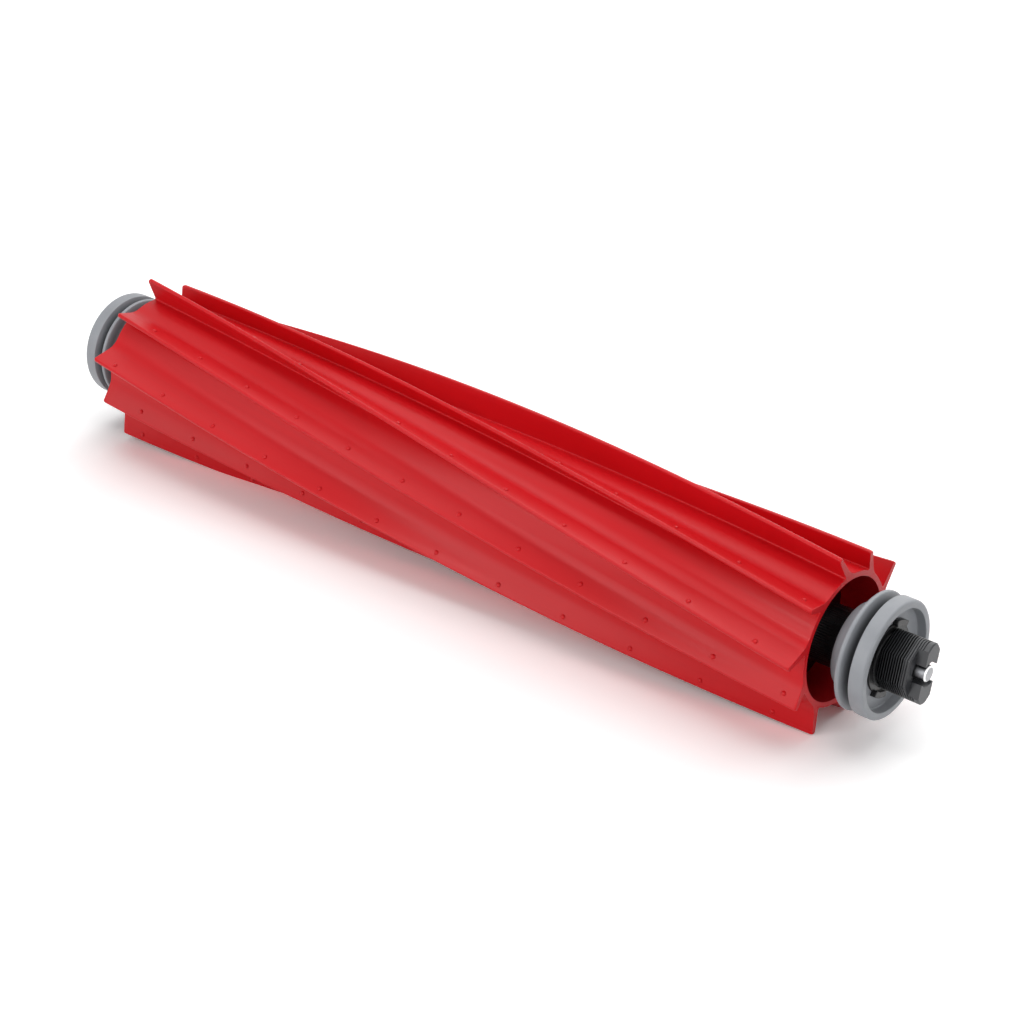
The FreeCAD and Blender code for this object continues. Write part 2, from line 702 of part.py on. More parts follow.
def draw_block_section(sketch):
    """Rounded outline of the block, drawn anticlockwise from its right upper corner."""
    top = "(block_half_diagonal - block_corner_round * sqrt(2))"
    side = "(block_half_width - block_side_round)"
    level = f"(block_half_diagonal - block_side_round * sqrt(2) - {side})"
    corners = [
        (side, level, "block_side_round", 0, 45),
        ("0", top, "block_corner_round", 45, 135),
        (f"-{side}", level, "block_side_round", 135, 180),
        (f"-{side}", f"-{level}", "block_side_round", 180, 225),
        ("0", f"-{top}", "block_corner_round", 225, 315),
        (side, f"-{level}", "block_side_round", 315, 360),
    ]
    arcs = [add_round_corner(sketch, *corner) for corner in corners]
    for index, arc in enumerate(arcs):
        following = arcs[(index + 1) % len(arcs)]
        start = sketch.getPoint(arc, 2)
        end = sketch.getPoint(following, 1)
        line = sketch.addGeometry(Part.LineSegment(start, end))
        sketch.addConstraint(Sketcher.Constraint("Tangent", arc, 2, line, 1))
        sketch.addConstraint(Sketcher.Constraint("Tangent", line, 2, following, 1))


def make_bearing_block():
    """Block that the vacuum's frame grips, bored for the bearing from its back."""
    turn = FreeCAD.Rotation(FreeCAD.Vector(1, 0, 0), value("block_turn"))
    body = new_body("bearing_block", BLOCK_BACK, turn)
    raise_profile(body, "block", "0", BLOCK_TOTAL, draw_block_section)

    def draw_sides(sketch):
        for side in BOTH_SIDES:
            add_rectangle(sketch, f"{side} * lug_half_thickness", f"{side} * 2 * block_half_width",
                          "-2 * block_half_diagonal", "2 * block_half_diagonal")

    def draw_slot(sketch):
        add_rectangle(sketch, "-2 * block_half_width", "2 * block_half_width",
                      "-lug_slot_half_width", "lug_slot_half_width")

    raise_profile(body, "lug_sides", BLOCK_TOTAL, "lug_length", draw_sides, "Pocket")
    slot = raise_profile(body, "lug_slot", BLOCK_TOTAL, "lug_length", draw_slot, "Pocket")
    end = value(BLOCK_TOTAL)
    dress_edges(body, "Chamfer", "lug_ends", slot, "lug_chamfer",
                lambda point: near(point.x, end))
    clip_end = "(bearing_setback - clear_hole_margin)"
    clip_start = f"({clip_end} - clip_thickness)"
    clip_radius = "(bearing_radius + clip_depth)"
    seat = "(bearing_setback + bearing_width)"
    turn_profile(body, "bore", [
        ("0", "0"), ("0", "bearing_radius"), (clip_start, "bearing_radius"),
        (clip_start, clip_radius), (clip_end, clip_radius), (clip_end, "bearing_radius"),
        (seat, "bearing_radius"), (seat, "block_hole_radius"),
        (BLOCK_LENGTH, "block_hole_radius"), (BLOCK_LENGTH, "0"),
    ], "Groove")
    return body


def check_objects():
    """Stops the build where any object of the document has failed."""
    for item in doc.Objects:
        if {"Invalid", "Error"} & set(item.State):
            raise RuntimeError(f"{item.Label} failed: {item.State}")


def write_nodes(nodes):
    """Writes each sub-part to its own file, named after its label."""
    for node in nodes:
        shape = node.Shape
        if shape.isNull() or not shape.isValid() or not shape.Solids:
            raise RuntimeError(f"{node.Label} has no valid solid")
        shape.exportStep(f"parts/{node.Label}.step")
        print(f"{node.Label}: {len(shape.Solids)} solid, {shape.Volume:.2f} cubic mm")


nodes = [
    make_brush_sleeve(),
    make_core_tube(),
    make_drive_end_plug(),
    make_bearing_end_plug(),
    make_guard_ring("drive_guard_ring", "0", None),
    make_guard_ring("bearing_guard_ring", BEARING_RIM, HALF_TURN),
    make_drive_socket(),
    make_drive_socket_screw(),
    make_pin_insert(),
    make_axle_pin(),
    make_lock_collar(),
    make_spacer(),
    make_dust_seal(),
    *make_bearing_races(),
    make_ball_cage(),
    *make_shields(),
    make_bearing_clip(),
    make_bearing_block(),
]
doc.recompute()
check_objects()
write_nodes(nodes)
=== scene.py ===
import json
import logging
import math
from dataclasses import dataclass
from enum import Enum
from typing import Sequence

import bmesh
import bpy
from bmesh.types import BMEdge, BMesh, BMFace, BMVert
from bpy.types import GeometryNodeTree, Material, Mesh, Node, NodeSocket, NodeTree, Object
from mathutils import Matrix, Vector

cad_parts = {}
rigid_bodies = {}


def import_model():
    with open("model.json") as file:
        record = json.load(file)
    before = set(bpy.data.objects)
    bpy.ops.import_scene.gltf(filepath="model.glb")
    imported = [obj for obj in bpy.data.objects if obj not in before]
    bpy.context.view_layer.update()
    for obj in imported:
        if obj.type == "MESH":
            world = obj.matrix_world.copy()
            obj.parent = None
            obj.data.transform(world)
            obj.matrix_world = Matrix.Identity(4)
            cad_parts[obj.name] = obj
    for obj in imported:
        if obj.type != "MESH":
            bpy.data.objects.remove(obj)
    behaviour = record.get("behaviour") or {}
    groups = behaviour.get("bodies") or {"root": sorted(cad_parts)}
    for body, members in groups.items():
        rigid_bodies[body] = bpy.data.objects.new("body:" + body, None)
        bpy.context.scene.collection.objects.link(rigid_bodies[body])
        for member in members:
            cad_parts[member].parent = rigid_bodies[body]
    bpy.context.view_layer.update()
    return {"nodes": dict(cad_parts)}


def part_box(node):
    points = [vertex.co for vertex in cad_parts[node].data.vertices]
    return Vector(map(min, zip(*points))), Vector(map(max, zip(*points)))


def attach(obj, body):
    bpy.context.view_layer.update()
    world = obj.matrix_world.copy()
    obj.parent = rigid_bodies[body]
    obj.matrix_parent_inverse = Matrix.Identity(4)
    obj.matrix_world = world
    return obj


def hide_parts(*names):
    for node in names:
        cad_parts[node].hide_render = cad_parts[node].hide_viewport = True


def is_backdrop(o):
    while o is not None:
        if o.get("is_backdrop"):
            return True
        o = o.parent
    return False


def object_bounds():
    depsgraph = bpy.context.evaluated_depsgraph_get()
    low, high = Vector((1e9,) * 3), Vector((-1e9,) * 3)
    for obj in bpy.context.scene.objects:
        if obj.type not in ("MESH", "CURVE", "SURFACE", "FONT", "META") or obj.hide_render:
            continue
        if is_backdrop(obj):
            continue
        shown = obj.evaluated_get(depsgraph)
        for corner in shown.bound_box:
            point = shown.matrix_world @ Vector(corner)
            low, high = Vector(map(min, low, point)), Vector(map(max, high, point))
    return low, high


LOG = logging.getLogger("roller_brush")
MM = 0.001
IMAGE_WIDTH = 1024
SENSOR_WIDTH = 36.0
SHARP_ANGLE = 32.0  # degrees between two faces
ON_AXLE = 1e-9  # metres
POLYMER_IOR = 1.5
PATTERN_ROUGHNESS = 0.55
DOME_SEGMENTS = 16
DOME_RINGS = 10
DOME_SUNK = 0.05  # share of a dome's height
Point = tuple[float, float]


class Body(Enum):
    """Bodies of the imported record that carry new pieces."""

    ROLLER = "roller"
    GRIP_BLOCK = "grip_block"


class Slot(Enum):
    """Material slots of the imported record."""

    RED_RUBBER = "red_rubber"
    GREY_PLASTIC = "grey_plastic"
    BLACK_PLASTIC = "black_plastic"
    BLOCK_PLASTIC = "block_plastic"
    PLATED_STEEL = "plated_steel"
    BEARING_STEEL = "bearing_steel"
    BRASS = "brass"
    FELT = "felt"


# Node and material tools

def linear(hex_colour: str) -> tuple[float, float, float, float]:
    """Turns an sRGB hex colour into linear RGBA.

    Args:
        hex_colour: Six hex digits, with or without a leading hash.

    Returns:
        The colour in linear light, with an alpha of 1.
    """
    digits = hex_colour.lstrip("#")
    channels = []
    for start in (0, 2, 4):
        level = int(digits[start:start + 2], 16) / 255
        channels.append(level / 12.92 if level <= 0.04045 else ((level + 0.055) / 1.055) ** 2.4)
    return (*channels, 1.0)


def add_node(tree: NodeTree, kind: str, settings: dict[str, object] | None = None,
             links: dict[str | int, object] | None = None) -> Node:
    """Adds a node with its settings, and gives each named input a value or a link.

    Args:
        tree: Tree that gets the node.
        kind: Blender's name of the node type.
        settings: Properties to set on the node.
        links: Input name or number to a constant, or to the socket that feeds it.

    Returns:
        The new node.
    """
    node = tree.nodes.new(kind)
    for name, setting in (settings or {}).items():
        setattr(node, name, setting)
    for name, source in (links or {}).items():
        socket = node.inputs[name]
        if isinstance(source, NodeSocket):
            tree.links.new(source, socket)
        else:
            socket.default_value = source
    return node


def new_material(name: str) -> tuple[Material, NodeTree]:
    """Makes an empty node material.

    Args:
        name: Name of the material.

    Returns:
        The material and its cleared node tree.
    """
    material = bpy.data.materials.new(name)
    material.use_nodes = True
    material.node_tree.nodes.clear()
    return material, material.node_tree


def object_pattern(tree: NodeTree, size_mm: float, detail: float = 3.0,
                   stretch: tuple[float, float, float] = (1.0, 1.0, 1.0)) -> Node:
    """Adds a noise pattern on object coordinates.

    Args:
        tree: Tree that gets the nodes.
        size_mm: Size of one blotch or grain of the pattern.
        detail: Octaves of finer noise.
        stretch: How much coarser the pattern is along X, Y and Z.

    Returns:
        The noise node.
    """
    place = add_node(tree, "ShaderNodeTexCoord")
    scale = tuple(1.0 / factor for factor in stretch)
    mapping = add_node(tree, "ShaderNodeMapping", None,
                       {"Vector": place.outputs["Object"], "Scale": scale})
    return add_node(tree, "ShaderNodeTexNoise", None,
                    {"Vector": mapping.outputs["Vector"], "Scale": 1.0 / (size_mm * MM),
                     "Detail": detail, "Roughness": PATTERN_ROUGHNESS})


def spread(tree: NodeTree, source: NodeSocket, low: float,
           high: float, from_low: float = 0.3, from_high: float = 0.7) -> NodeSocket:
    """Maps a pattern's middle range onto two limits.

    Args:
        tree: Tree that gets the node.
        source: Pattern value.
        low: Result at the low end.
        high: Result at the high end.
        from_low: Pattern value that gives `low`.
        from_high: Pattern value that gives `high`.

    Returns:
        The mapped value.
    """
    node = add_node(tree, "ShaderNodeMapRange", None,
                    {"Value": source, "From Min": from_low, "From Max": from_high,
                     "To Min": low, "To Max": high})
    return node.outputs["Result"]


def two_tone(tree: NodeTree, factor: NodeSocket, first: object, second: object) -> NodeSocket:
    """Blends two colours, each a hex value, linear RGBA or a socket, by a pattern.

    Args:
        tree: Tree that gets the node.
        factor: Pattern value from 0 to 1.
        first: Colour where the factor is 0.
        second: Colour where the factor is 1.

    Returns:
        The blended colour.
    """
    sides = [linear(side) if isinstance(side, str) else side for side in (first, second)]
    # A mix node's colours are its inputs 6 and 7 and its output 2.
    node = add_node(tree, "ShaderNodeMix", {"data_type": "RGBA"}, {
        "Factor": factor, 6: sides[0], 7: sides[1]})
    return node.outputs[2]


def blotched(tree: NodeTree, pattern: Node, body: str, shade: str) -> NodeSocket:
    """Blends the colour of a body and its shade by a noise pattern."""
    return two_tone(tree, spread(tree, pattern.outputs["Fac"], 0.0, 1.0), body, shade)


def bumpy(tree: NodeTree, pattern: Node, strength: float, height_mm: float,
          **more: NodeSocket) -> NodeSocket:
    """Turns a noise pattern into bumps.

    Args:
        tree: Tree that gets the node.
        pattern: Noise node whose value is the height.
        strength: How much of the bumps shows, from 0 to 1.
        height_mm: Height of the bumps.
        more: Further inputs, such as the normal that the bumps stand on.

    Returns:
        The normal of the bumpy surface.
    """
    node = add_node(tree, "ShaderNodeBump", None, {
        "Strength": strength, "Distance": height_mm * MM, "Height": pattern.outputs["Fac"],
        **more})
    return node.outputs["Normal"]


def calc(tree: NodeTree, operation: str, first: object, second: object = 0.0) -> NodeSocket:
    """Adds a maths node on two numbers or sockets and gives its result."""
    return add_node(tree, "ShaderNodeMath", {"operation": operation},
                    {0: first, 1: second}).outputs[0]


def axle_place(tree: NodeTree) -> tuple[NodeSocket, NodeSocket]:
    """Gives each point's place along the axle and its distance from the axle.

    Args:
        tree: Tree that gets the nodes.

    Returns:
        The place along the axle and the distance from it, in metres.
    """
    place = add_node(tree, "ShaderNodeTexCoord")
    parts = add_node(tree, "ShaderNodeSeparateXYZ", None, {"Vector": place.outputs["Object"]})
    flat = add_node(tree, "ShaderNodeCombineXYZ", None, {
        "Y": parts.outputs["Y"], "Z": parts.outputs["Z"]})
    radius = add_node(tree, "ShaderNodeVectorMath", {"operation": "LENGTH"}, {
        0: flat.outputs["Vector"]})
    return parts.outputs["X"], radius.outputs["Value"]


def close_material(tree: NodeTree, shader: dict[str | int, object]) -> None:
    """Adds the surface shader and the output.

    Args:
        tree: Tree that gets the nodes.
        shader: Inputs of the principled shader.
    """
    surface = add_node(tree, "ShaderNodeBsdfPrincipled", None, shader)
    add_node(tree, "ShaderNodeOutputMaterial", None, {"Surface": surface.outputs["BSDF"]})


# Finishes

@dataclass(frozen=True)
class MouldedRubber:
    """Injection moulded TPU rubber.

    To the eye it is satin: a broad soft sheen with flow lines along the fins, a fine
    bloom that shifts the red a little, and no sharp glints.
    """

    name: str = "moulded_red_rubber"
    body: str = "#C40913"
    bloom: str = "#CF101B"
    roughness: float = 0.38
    specular: float = 0.27
    bloom_mm: float = 14.0
    flow_line_mm: float = 0.55
    flow_run_mm: float = 60.0
    flow_share: float = 0.35
    grain_mm: float = 0.35
    bloom_stretch: tuple[float, float, float] = (3.0, 1.0, 1.0)
    bloom_range: tuple[float, float] = (0.45, 0.95)
    line_height_mm: float = 0.02
    line_strength: float = 0.1
    grain_height_mm: float = 0.01
    grain_strength: float = 0.12
    smoother: float = 0.05
    rougher: float = 0.06

    def build(self) -> Material:
        """Builds the material, whose UV map runs round the section and along the axle.

        Returns:
            The finished material.
        """
        material, tree = new_material(self.name)
        bloom = object_pattern(tree, self.bloom_mm, 2.0, self.bloom_stretch)
        chart = add_node(tree, "ShaderNodeUVMap", {"uv_map": "UVMap"})
        stretched = add_node(tree, "ShaderNodeMapping", None, {
            "Vector": chart.outputs["UV"],
            "Scale": (1.0, self.flow_line_mm / self.flow_run_mm, 1.0)})
        flow = add_node(tree, "ShaderNodeTexNoise", None, {
            "Vector": stretched.outputs["Vector"], "Scale": 1.0 / (self.flow_line_mm * MM),
            "Detail": 2.0, "Roughness": 0.5})
        grain = object_pattern(tree, self.grain_mm, 2.0)
        both = add_node(tree, "ShaderNodeMath", {"operation": "MULTIPLY_ADD"}, {
            0: flow.outputs["Fac"], 1: self.flow_share, 2: bloom.outputs["Fac"]})
        tone = two_tone(tree, spread(tree, both.outputs["Value"], 0.0, 1.0, *self.bloom_range),
                        self.body, self.bloom)
        lines = bumpy(tree, flow, self.line_strength, self.line_height_mm)
        close_material(tree, {
            "Base Color": tone, "IOR": POLYMER_IOR, "Specular IOR Level": self.specular,
            "Roughness": spread(tree, flow.outputs["Fac"], self.roughness - self.smoother,
                                self.roughness + self.rougher),
            "Normal": bumpy(tree, grain, self.grain_strength, self.grain_height_mm,
                            Normal=lines)})
        return material


@dataclass(frozen=True)
class MouldedPlastic:
    """Plastic moulded in a spark-eroded tool.

    To the eye it is even and dull: a fine grain breaks up the reflection, and the shade
    changes slightly from place to place.
    """

    name: str
    body: str
    shade: str
    roughness: float
    blotch_mm: float = 6.0
    grain_mm: float = 0.18
    grain_height_mm: float = 0.006
    grain_strength: float = 0.35
    specular: float = 0.5
    smoother: float = 0.04
    rougher: float = 0.05

    def shade_of(self, tree: NodeTree) -> NodeSocket:
        """Gives the body's colour with its slight change of shade."""
        return blotched(tree, object_pattern(tree, self.blotch_mm), self.body, self.shade)

    def build(self) -> Material:
        """Builds the material.

        Returns:
            The finished material.
        """
        material, tree = new_material(self.name)
        grain = object_pattern(tree, self.grain_mm, 2.0)
        tone = self.shade_of(tree)
        close_material(tree, {
            "Base Color": tone, "IOR": POLYMER_IOR, "Specular IOR Level": self.specular,
            "Roughness": spread(tree, grain.outputs["Fac"], self.roughness - self.smoother,
                                self.roughness + self.rougher),
            "Normal": bumpy(tree, grain, self.grain_strength, self.grain_height_mm)})
        return material


@dataclass(frozen=True)
class GroovedPlastic(MouldedPlastic):
    """Moulded plastic whose fine cross grooves are painted near black as shade."""

    painted_groove_shade: str = "#020202"
    first_mm: float = 0.0
    pitch_mm: float = 0.5
    width_mm: float = 0.3
    end_mm: float = 0.0

    def shade_of(self, tree: NodeTree) -> NodeSocket:
        """Gives the blotched body, with painted shade where a groove runs.

        Args:
            tree: Tree that gets the nodes.

        Returns:
            The colour.
        """
        place = add_node(tree, "ShaderNodeTexCoord")
        parts = add_node(tree, "ShaderNodeSeparateXYZ", None, {"Vector": place.outputs["Object"]})
        along = parts.outputs["X"]
        share = calc(tree, "DIVIDE", calc(tree, "SUBTRACT", along, self.first_mm * MM),
                     self.pitch_mm * MM)
        groove = calc(tree, "LESS_THAN", calc(tree, "FRACT", share),
                      self.width_mm / self.pitch_mm)
        before_end = calc(tree, "LESS_THAN", along, self.end_mm * MM)
        # Painted shade: each groove is coloured near black.
        return two_tone(tree, calc(tree, "MULTIPLY", groove, before_end),
                        super().shade_of(tree), self.painted_groove_shade)


@dataclass(frozen=True)
class GuardPlastic(MouldedPlastic):
    """Moulded plastic of a hair guard, with painted shade down in its groove."""

    painted_shade_tone: str = "#434447"
    painted_shade_from_mm: float = 0.0
    painted_shade_to_mm: float = 0.0
    unshaded_radius_mm: float = 10.6
    darkest_shade_radius_mm: float = 8.8

    def shade_of(self, tree: NodeTree) -> NodeSocket:
        """Gives the body's colour, with painted shade towards the bottom of the groove.

        Args:
            tree: Tree that gets the nodes.

        Returns:
            The colour.
        """
        along, radius = axle_place(tree)
        inside = calc(tree, "MULTIPLY",
                      calc(tree, "GREATER_THAN", along, self.painted_shade_from_mm * MM),
                      calc(tree, "LESS_THAN", along, self.painted_shade_to_mm * MM))
        deep = spread(tree, radius, 1.0, 0.0, self.darkest_shade_radius_mm * MM,
                      self.unshaded_radius_mm * MM)
        # Painted shade: darker towards the bottom of the groove.
        return two_tone(tree, calc(tree, "MULTIPLY", inside, deep),
                        super().shade_of(tree), self.painted_shade_tone)


@dataclass(frozen=True)
class TurnedMetal:
    """Metal turned or ground on the axle.

    To the eye the rings of fine tool marks draw the reflection out across them.
    """

    name: str
    body: str
    shade: str
    roughness: float
    blotch_mm: float = 1.5
    mark_mm: float = 0.12
    mark_height_mm: float = 0.003
    mark_strength: float = 0.3
    smoother: float = 0.06
    rougher: float = 0.08

    def shade_of(self, tree: NodeTree, radius: NodeSocket) -> NodeSocket:
        """Gives the metal's colour with its slight change of shade."""
        return blotched(tree, object_pattern(tree, self.blotch_mm), self.body, self.shade)

    def build(self) -> Material:
        """Builds the material, whose marks change along the axle and outwards from it.

        Returns:
            The finished material.
        """
        material, tree = new_material(self.name)
        along, radius = axle_place(tree)
        spot = add_node(tree, "ShaderNodeCombineXYZ", None, {"X": along, "Y": radius})
        marks = add_node(tree, "ShaderNodeTexNoise", None, {
            "Vector": spot.outputs["Vector"], "Scale": 1.0 / (self.mark_mm * MM), "Detail": 3.0})
        tone = self.shade_of(tree, radius)
        close_material(tree, {
            "Base Color": tone, "Metallic": 1.0,
            "Roughness": spread(tree, marks.outputs["Fac"], self.roughness - self.smoother,
                                self.roughness + self.rougher),
            "Normal": bumpy(tree, marks, self.mark_strength, self.mark_height_mm)})
        return material


@dataclass(frozen=True)
class GroundPin(TurnedMetal):
    """Steel pin with a brushed end, a painted highlight on its chamfer and painted shade on its
    side.
    """

    painted_chamfer_highlight: str = "#F4F4F4"
    painted_side_shade: str = "#7A7B7E"
    face_radius_mm: float = 1.22
    side_radius_mm: float = 1.46
    edge_mm: float = 0.02

    def shade_of(self, tree: NodeTree, radius: NodeSocket) -> NodeSocket:
        """Gives the end's colour inside, then the painted highlight on the chamfer, then the
        painted shade on the side.

        Args:
            tree: Tree that gets the nodes.
            radius: Distance from the axle.

        Returns:
            The colour.
        """
        tone = super().shade_of(tree, radius)
        # Painted highlight on the chamfer, then painted shade on the side.
        for reach, colour in ((self.face_radius_mm, self.painted_chamfer_highlight),
                              (self.side_radius_mm, self.painted_side_shade)):
            outside = spread(tree, radius, 0.0, 1.0, (reach - self.edge_mm) * MM,
                             (reach + self.edge_mm) * MM)
            tone = two_tone(tree, outside, tone, colour)
        return tone


@dataclass(frozen=True)
class PressedFelt:
    """Pressed wool felt: matt to the eye, with matted fibres in two greys."""

    name: str = "pressed_felt"
    body: str = "#2E2E30"
    shade: str = "#4A4A4C"
    roughness: float = 0.95
    sheen: float = 0.3
    fibre_mm: float = 0.12
    fibre_stretch: tuple[float, float, float] = (4.0, 1.0, 1.0)
    fibre_detail: float = 5.0
    fibre_height_mm: float = 0.05
    fibre_strength: float = 0.8

    def build(self) -> Material:
        """Builds the material.

        Returns:
            The finished material.
        """
        material, tree = new_material(self.name)
        fibre = object_pattern(tree, self.fibre_mm, self.fibre_detail, self.fibre_stretch)
        close_material(tree, {
            "Base Color": blotched(tree, fibre, self.body, self.shade),
            "Roughness": self.roughness, "Sheen Weight": self.sheen,
            "Normal": bumpy(tree, fibre, self.fibre_strength, self.fibre_height_mm)})
        return material


@dataclass(frozen=True)
class Finishes:
    """The finishes that several pieces share, built once."""

    by_slot: dict[Slot, Material]

    @classmethod
    def build(cls) -> "Finishes":
        """Builds one material for each of their slots.

        Returns:
            The finishes with their materials.
        """
        recipes = {
            Slot.RED_RUBBER: MouldedRubber(),
            # Filled nylon: nearly black in shade, with only its edges catching the light.
            Slot.BLACK_PLASTIC: MouldedPlastic("moulded_black_nylon", "#080809", "#0D0D0F", 0.3,
                                               specular=0.4),
            # Ground, then nickel plated: the palest metal here, faintly cool.
            Slot.PLATED_STEEL: TurnedMetal("ground_nickel_plated_steel", "#D2D3D6", "#C4C6C9", 0.3),
            # Ground and oiled: darker than the plated steel, with a sharper reflection.
            Slot.BEARING_STEEL: TurnedMetal("ground_bearing_steel", "#A9ABAF", "#93969A", 0.26),
            # Turned and left bare: yellow, browner from place to place.
            Slot.BRASS: TurnedMetal("turned_brass", "#C7A25C", "#B08A45", 0.3),
            Slot.FELT: PressedFelt(),
        }
        return cls({slot: recipe.build() for slot, recipe in recipes.items()})

    def of(self, slot: Slot) -> Material:
        """Gives the material of a slot."""
        return self.by_slot[slot]


# Mesh tools

def rounded(corners: Sequence[tuple[float, float, float]], steps: int = 4,
            closed: bool = True) -> list[Point]:
    """Rounds the corners of an outline.

    Args:
        corners: Points of the outline, each with the length that its rounding takes
            from both of its sides.
        steps: Pieces in each rounding.
        closed: Whether the last corner is followed by the first.

    Returns:
        Points of the rounded outline.
    """
    points: list[Point] = []
    count = len(corners)
    for index, (across, along, cut) in enumerate(corners):
        here = Vector((across, along))
        if cut == 0 or (not closed and index in (0, count - 1)):
            points.append((here.x, here.y))
            continue
        before = Vector(corners[index - 1][:2])
        after = Vector(corners[(index + 1) % count][:2])
        start = here + (before - here).normalized() * cut
        end = here + (after - here).normalized() * cut
        for step in range(steps + 1):
            share = step / steps
            spot = start * (1 - share) ** 2 + here * (2 * share * (1 - share)) + end * share ** 2
            points.append((spot.x, spot.y))
    return points


def link_object(name: str, mesh: Mesh) -> Object:
    """Puts a mesh in the scene as an object at the origin.

    Args:
        name: Name of the object.
        mesh: Mesh that it shows.

    Returns:
        The new object.
    """
    piece = bpy.data.objects.new(name, mesh)
    bpy.context.scene.collection.objects.link(piece)
    return piece


def release(bm: BMesh, name: str) -> Object:
    """Puts a bmesh in the scene as an object at the origin, and frees it.

    Args:
        bm: Mesh to use, freed here.
        name: Name of the object and its mesh.

    Returns:
        The new object.
    """
    mesh = bpy.data.meshes.new(name)
    bm.to_mesh(mesh)
    bm.free()
    return link_object(name, mesh)


def shade(mesh: Mesh, sharp_angle: float = SHARP_ANGLE) -> None:
    """Shades a mesh smoothly, but keeps edges sharp that turn by more degrees than given."""
    mesh.shade_smooth()
    mesh.set_sharp_from_angle(angle=math.radians(sharp_angle))


def skin(bm: BMesh, rings: Sequence[Sequence[BMVert]]) -> None:
    """Joins rings of as many vertices into a skin, closed by the first and last ring.

    Args:
        bm: Mesh that holds the rings.
        rings: Rings in their order along the form.
    """
    for first, second in zip(rings, rings[1:]):
        for index in range(len(first)):
            following = (index + 1) % len(first)
            bm.faces.new((first[index], first[following], second[following], second[index]))
    bm.faces.new(rings[0])
    bm.faces.new(rings[-1])


def finish_mesh(bm: BMesh, name: str, material: Material,
                sharp_angle: float = SHARP_ANGLE) -> Object:
    """Turns a bmesh into a shaded object with one material.

    Args:
        bm: Mesh to use, freed here.
        name: Name of the object.
        material: Its material.
        sharp_angle: Edges turning by more than this many degrees stay sharp.

    Returns:
        The object, linked to the scene, at the origin.
    """
    bmesh.ops.recalc_face_normals(bm, faces=bm.faces)
    piece = release(bm, name)
    shade(piece.data, sharp_angle)
    piece.data.materials.append(material)
    return piece


def lathe(name: str, profile: Sequence[Point], material: Material, segments: int) -> Object:
    """Turns a closed long-section about the axle.

    Args:
        name: Name of the object.
        profile: Points as (place along the axle, radius) in metres. Points on the
            axle close the form there.
        material: Its material.
        segments: Steps round the axle.

    Returns:
        The turned object.
    """
    bm = bmesh.new()
    rings: list[list[BMVert]] = []
    for along, radius in profile:
        if radius < ON_AXLE:
            rings.append([bm.verts.new((along, 0, 0))])
            continue
        turn = 2 * math.pi / segments
        rings.append([bm.verts.new((along, radius * math.cos(turn * step),
                                    radius * math.sin(turn * step)))
                      for step in range(segments)])
    for first, second in zip(rings, rings[1:] + rings[:1]):
        if len(first) == 1 and len(second) == 1:
            continue
        for step in range(segments):
            following = (step + 1) % segments
            corners = [first[step % len(first)], first[following % len(first)],
                       second[following % len(second)], second[step % len(second)]]
            bm.faces.new(list(dict.fromkeys(corners)))
    return finish_mesh(bm, name, material)


def box_cutter(name: str, low: Sequence[float], high: Sequence[float],
               turn: float = 0.0) -> Object:
    """Makes a box to cut with.

    Args:
        name: Name of the object.
        low: Lowest corner in metres, before the turn.
        high: Highest corner in metres, before the turn.
        turn: Angle about the axle in radians.

    Returns:
        The box.
    """
    bm = bmesh.new()
    middle = [(a + b) / 2 for a, b in zip(low, high)]
    size = [b - a for a, b in zip(low, high)]
    place = Matrix.Rotation(turn, 4, "X") @ Matrix.Translation(middle)
    bmesh.ops.create_cube(bm, size=1.0, matrix=place @ Matrix.Diagonal((*size, 1.0)))
    return release(bm, name)


def bake_modifiers(piece: Object) -> None:
    """Replaces an object's mesh by its evaluated one and removes its modifiers.

    Args:
        piece: Object to change.
    """
    bpy.context.view_layer.update()
    graph = bpy.context.evaluated_depsgraph_get()
    mesh = bpy.data.meshes.new_from_object(piece.evaluated_get(graph))
    piece.modifiers.clear()
    old = piece.data
    piece.data = mesh
    if old.users == 0:
        bpy.data.batch_remove([old])


def combine(piece: Object, others: Sequence[Object], operation: str = "DIFFERENCE") -> None:
    """Cuts objects out of a piece or joins them to it, and removes them.

    Args:
        piece: Object to change.
        others: Objects to subtract or add.
        operation: DIFFERENCE to subtract, UNION to add.
    """
    for other in others:
        modifier = piece.modifiers.new(operation.lower(), "BOOLEAN")
        modifier.operation = operation
        modifier.solver = "EXACT"
        modifier.object = other
    bake_modifiers(piece)
    for other in others:
        bpy.data.objects.remove(other)
    shade(piece.data)


def settle(piece: Object, body: Body, slot: Slot, *nodes: str) -> None:
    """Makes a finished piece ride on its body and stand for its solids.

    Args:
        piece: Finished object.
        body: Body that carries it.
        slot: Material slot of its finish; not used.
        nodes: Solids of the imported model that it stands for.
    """
    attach(piece, body.value)
    if nodes:
        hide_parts(*nodes)
    LOG.info("%s: %d faces on %s", piece.name, len(piece.data.polygons), body.value)


# Geometry Nodes

def new_tree(name: str, inputs: Sequence[tuple[str, str]]) -> GeometryNodeTree:
    """Makes a geometry tree with a geometry input, named inputs and a geometry output.

    Args:
        name: Name of the tree.
        inputs: Name and socket type of each further input.

    Returns:
        The tree.
    """
    tree = bpy.data.node_groups.new(name, "GeometryNodeTree")
    tree.interface.new_socket("Geometry", in_out="INPUT", socket_type="NodeSocketGeometry")
    for label, kind in inputs:
        tree.interface.new_socket(label, in_out="INPUT", socket_type=kind)
    tree.interface.new_socket("Geometry", in_out="OUTPUT", socket_type="NodeSocketGeometry")
    return tree


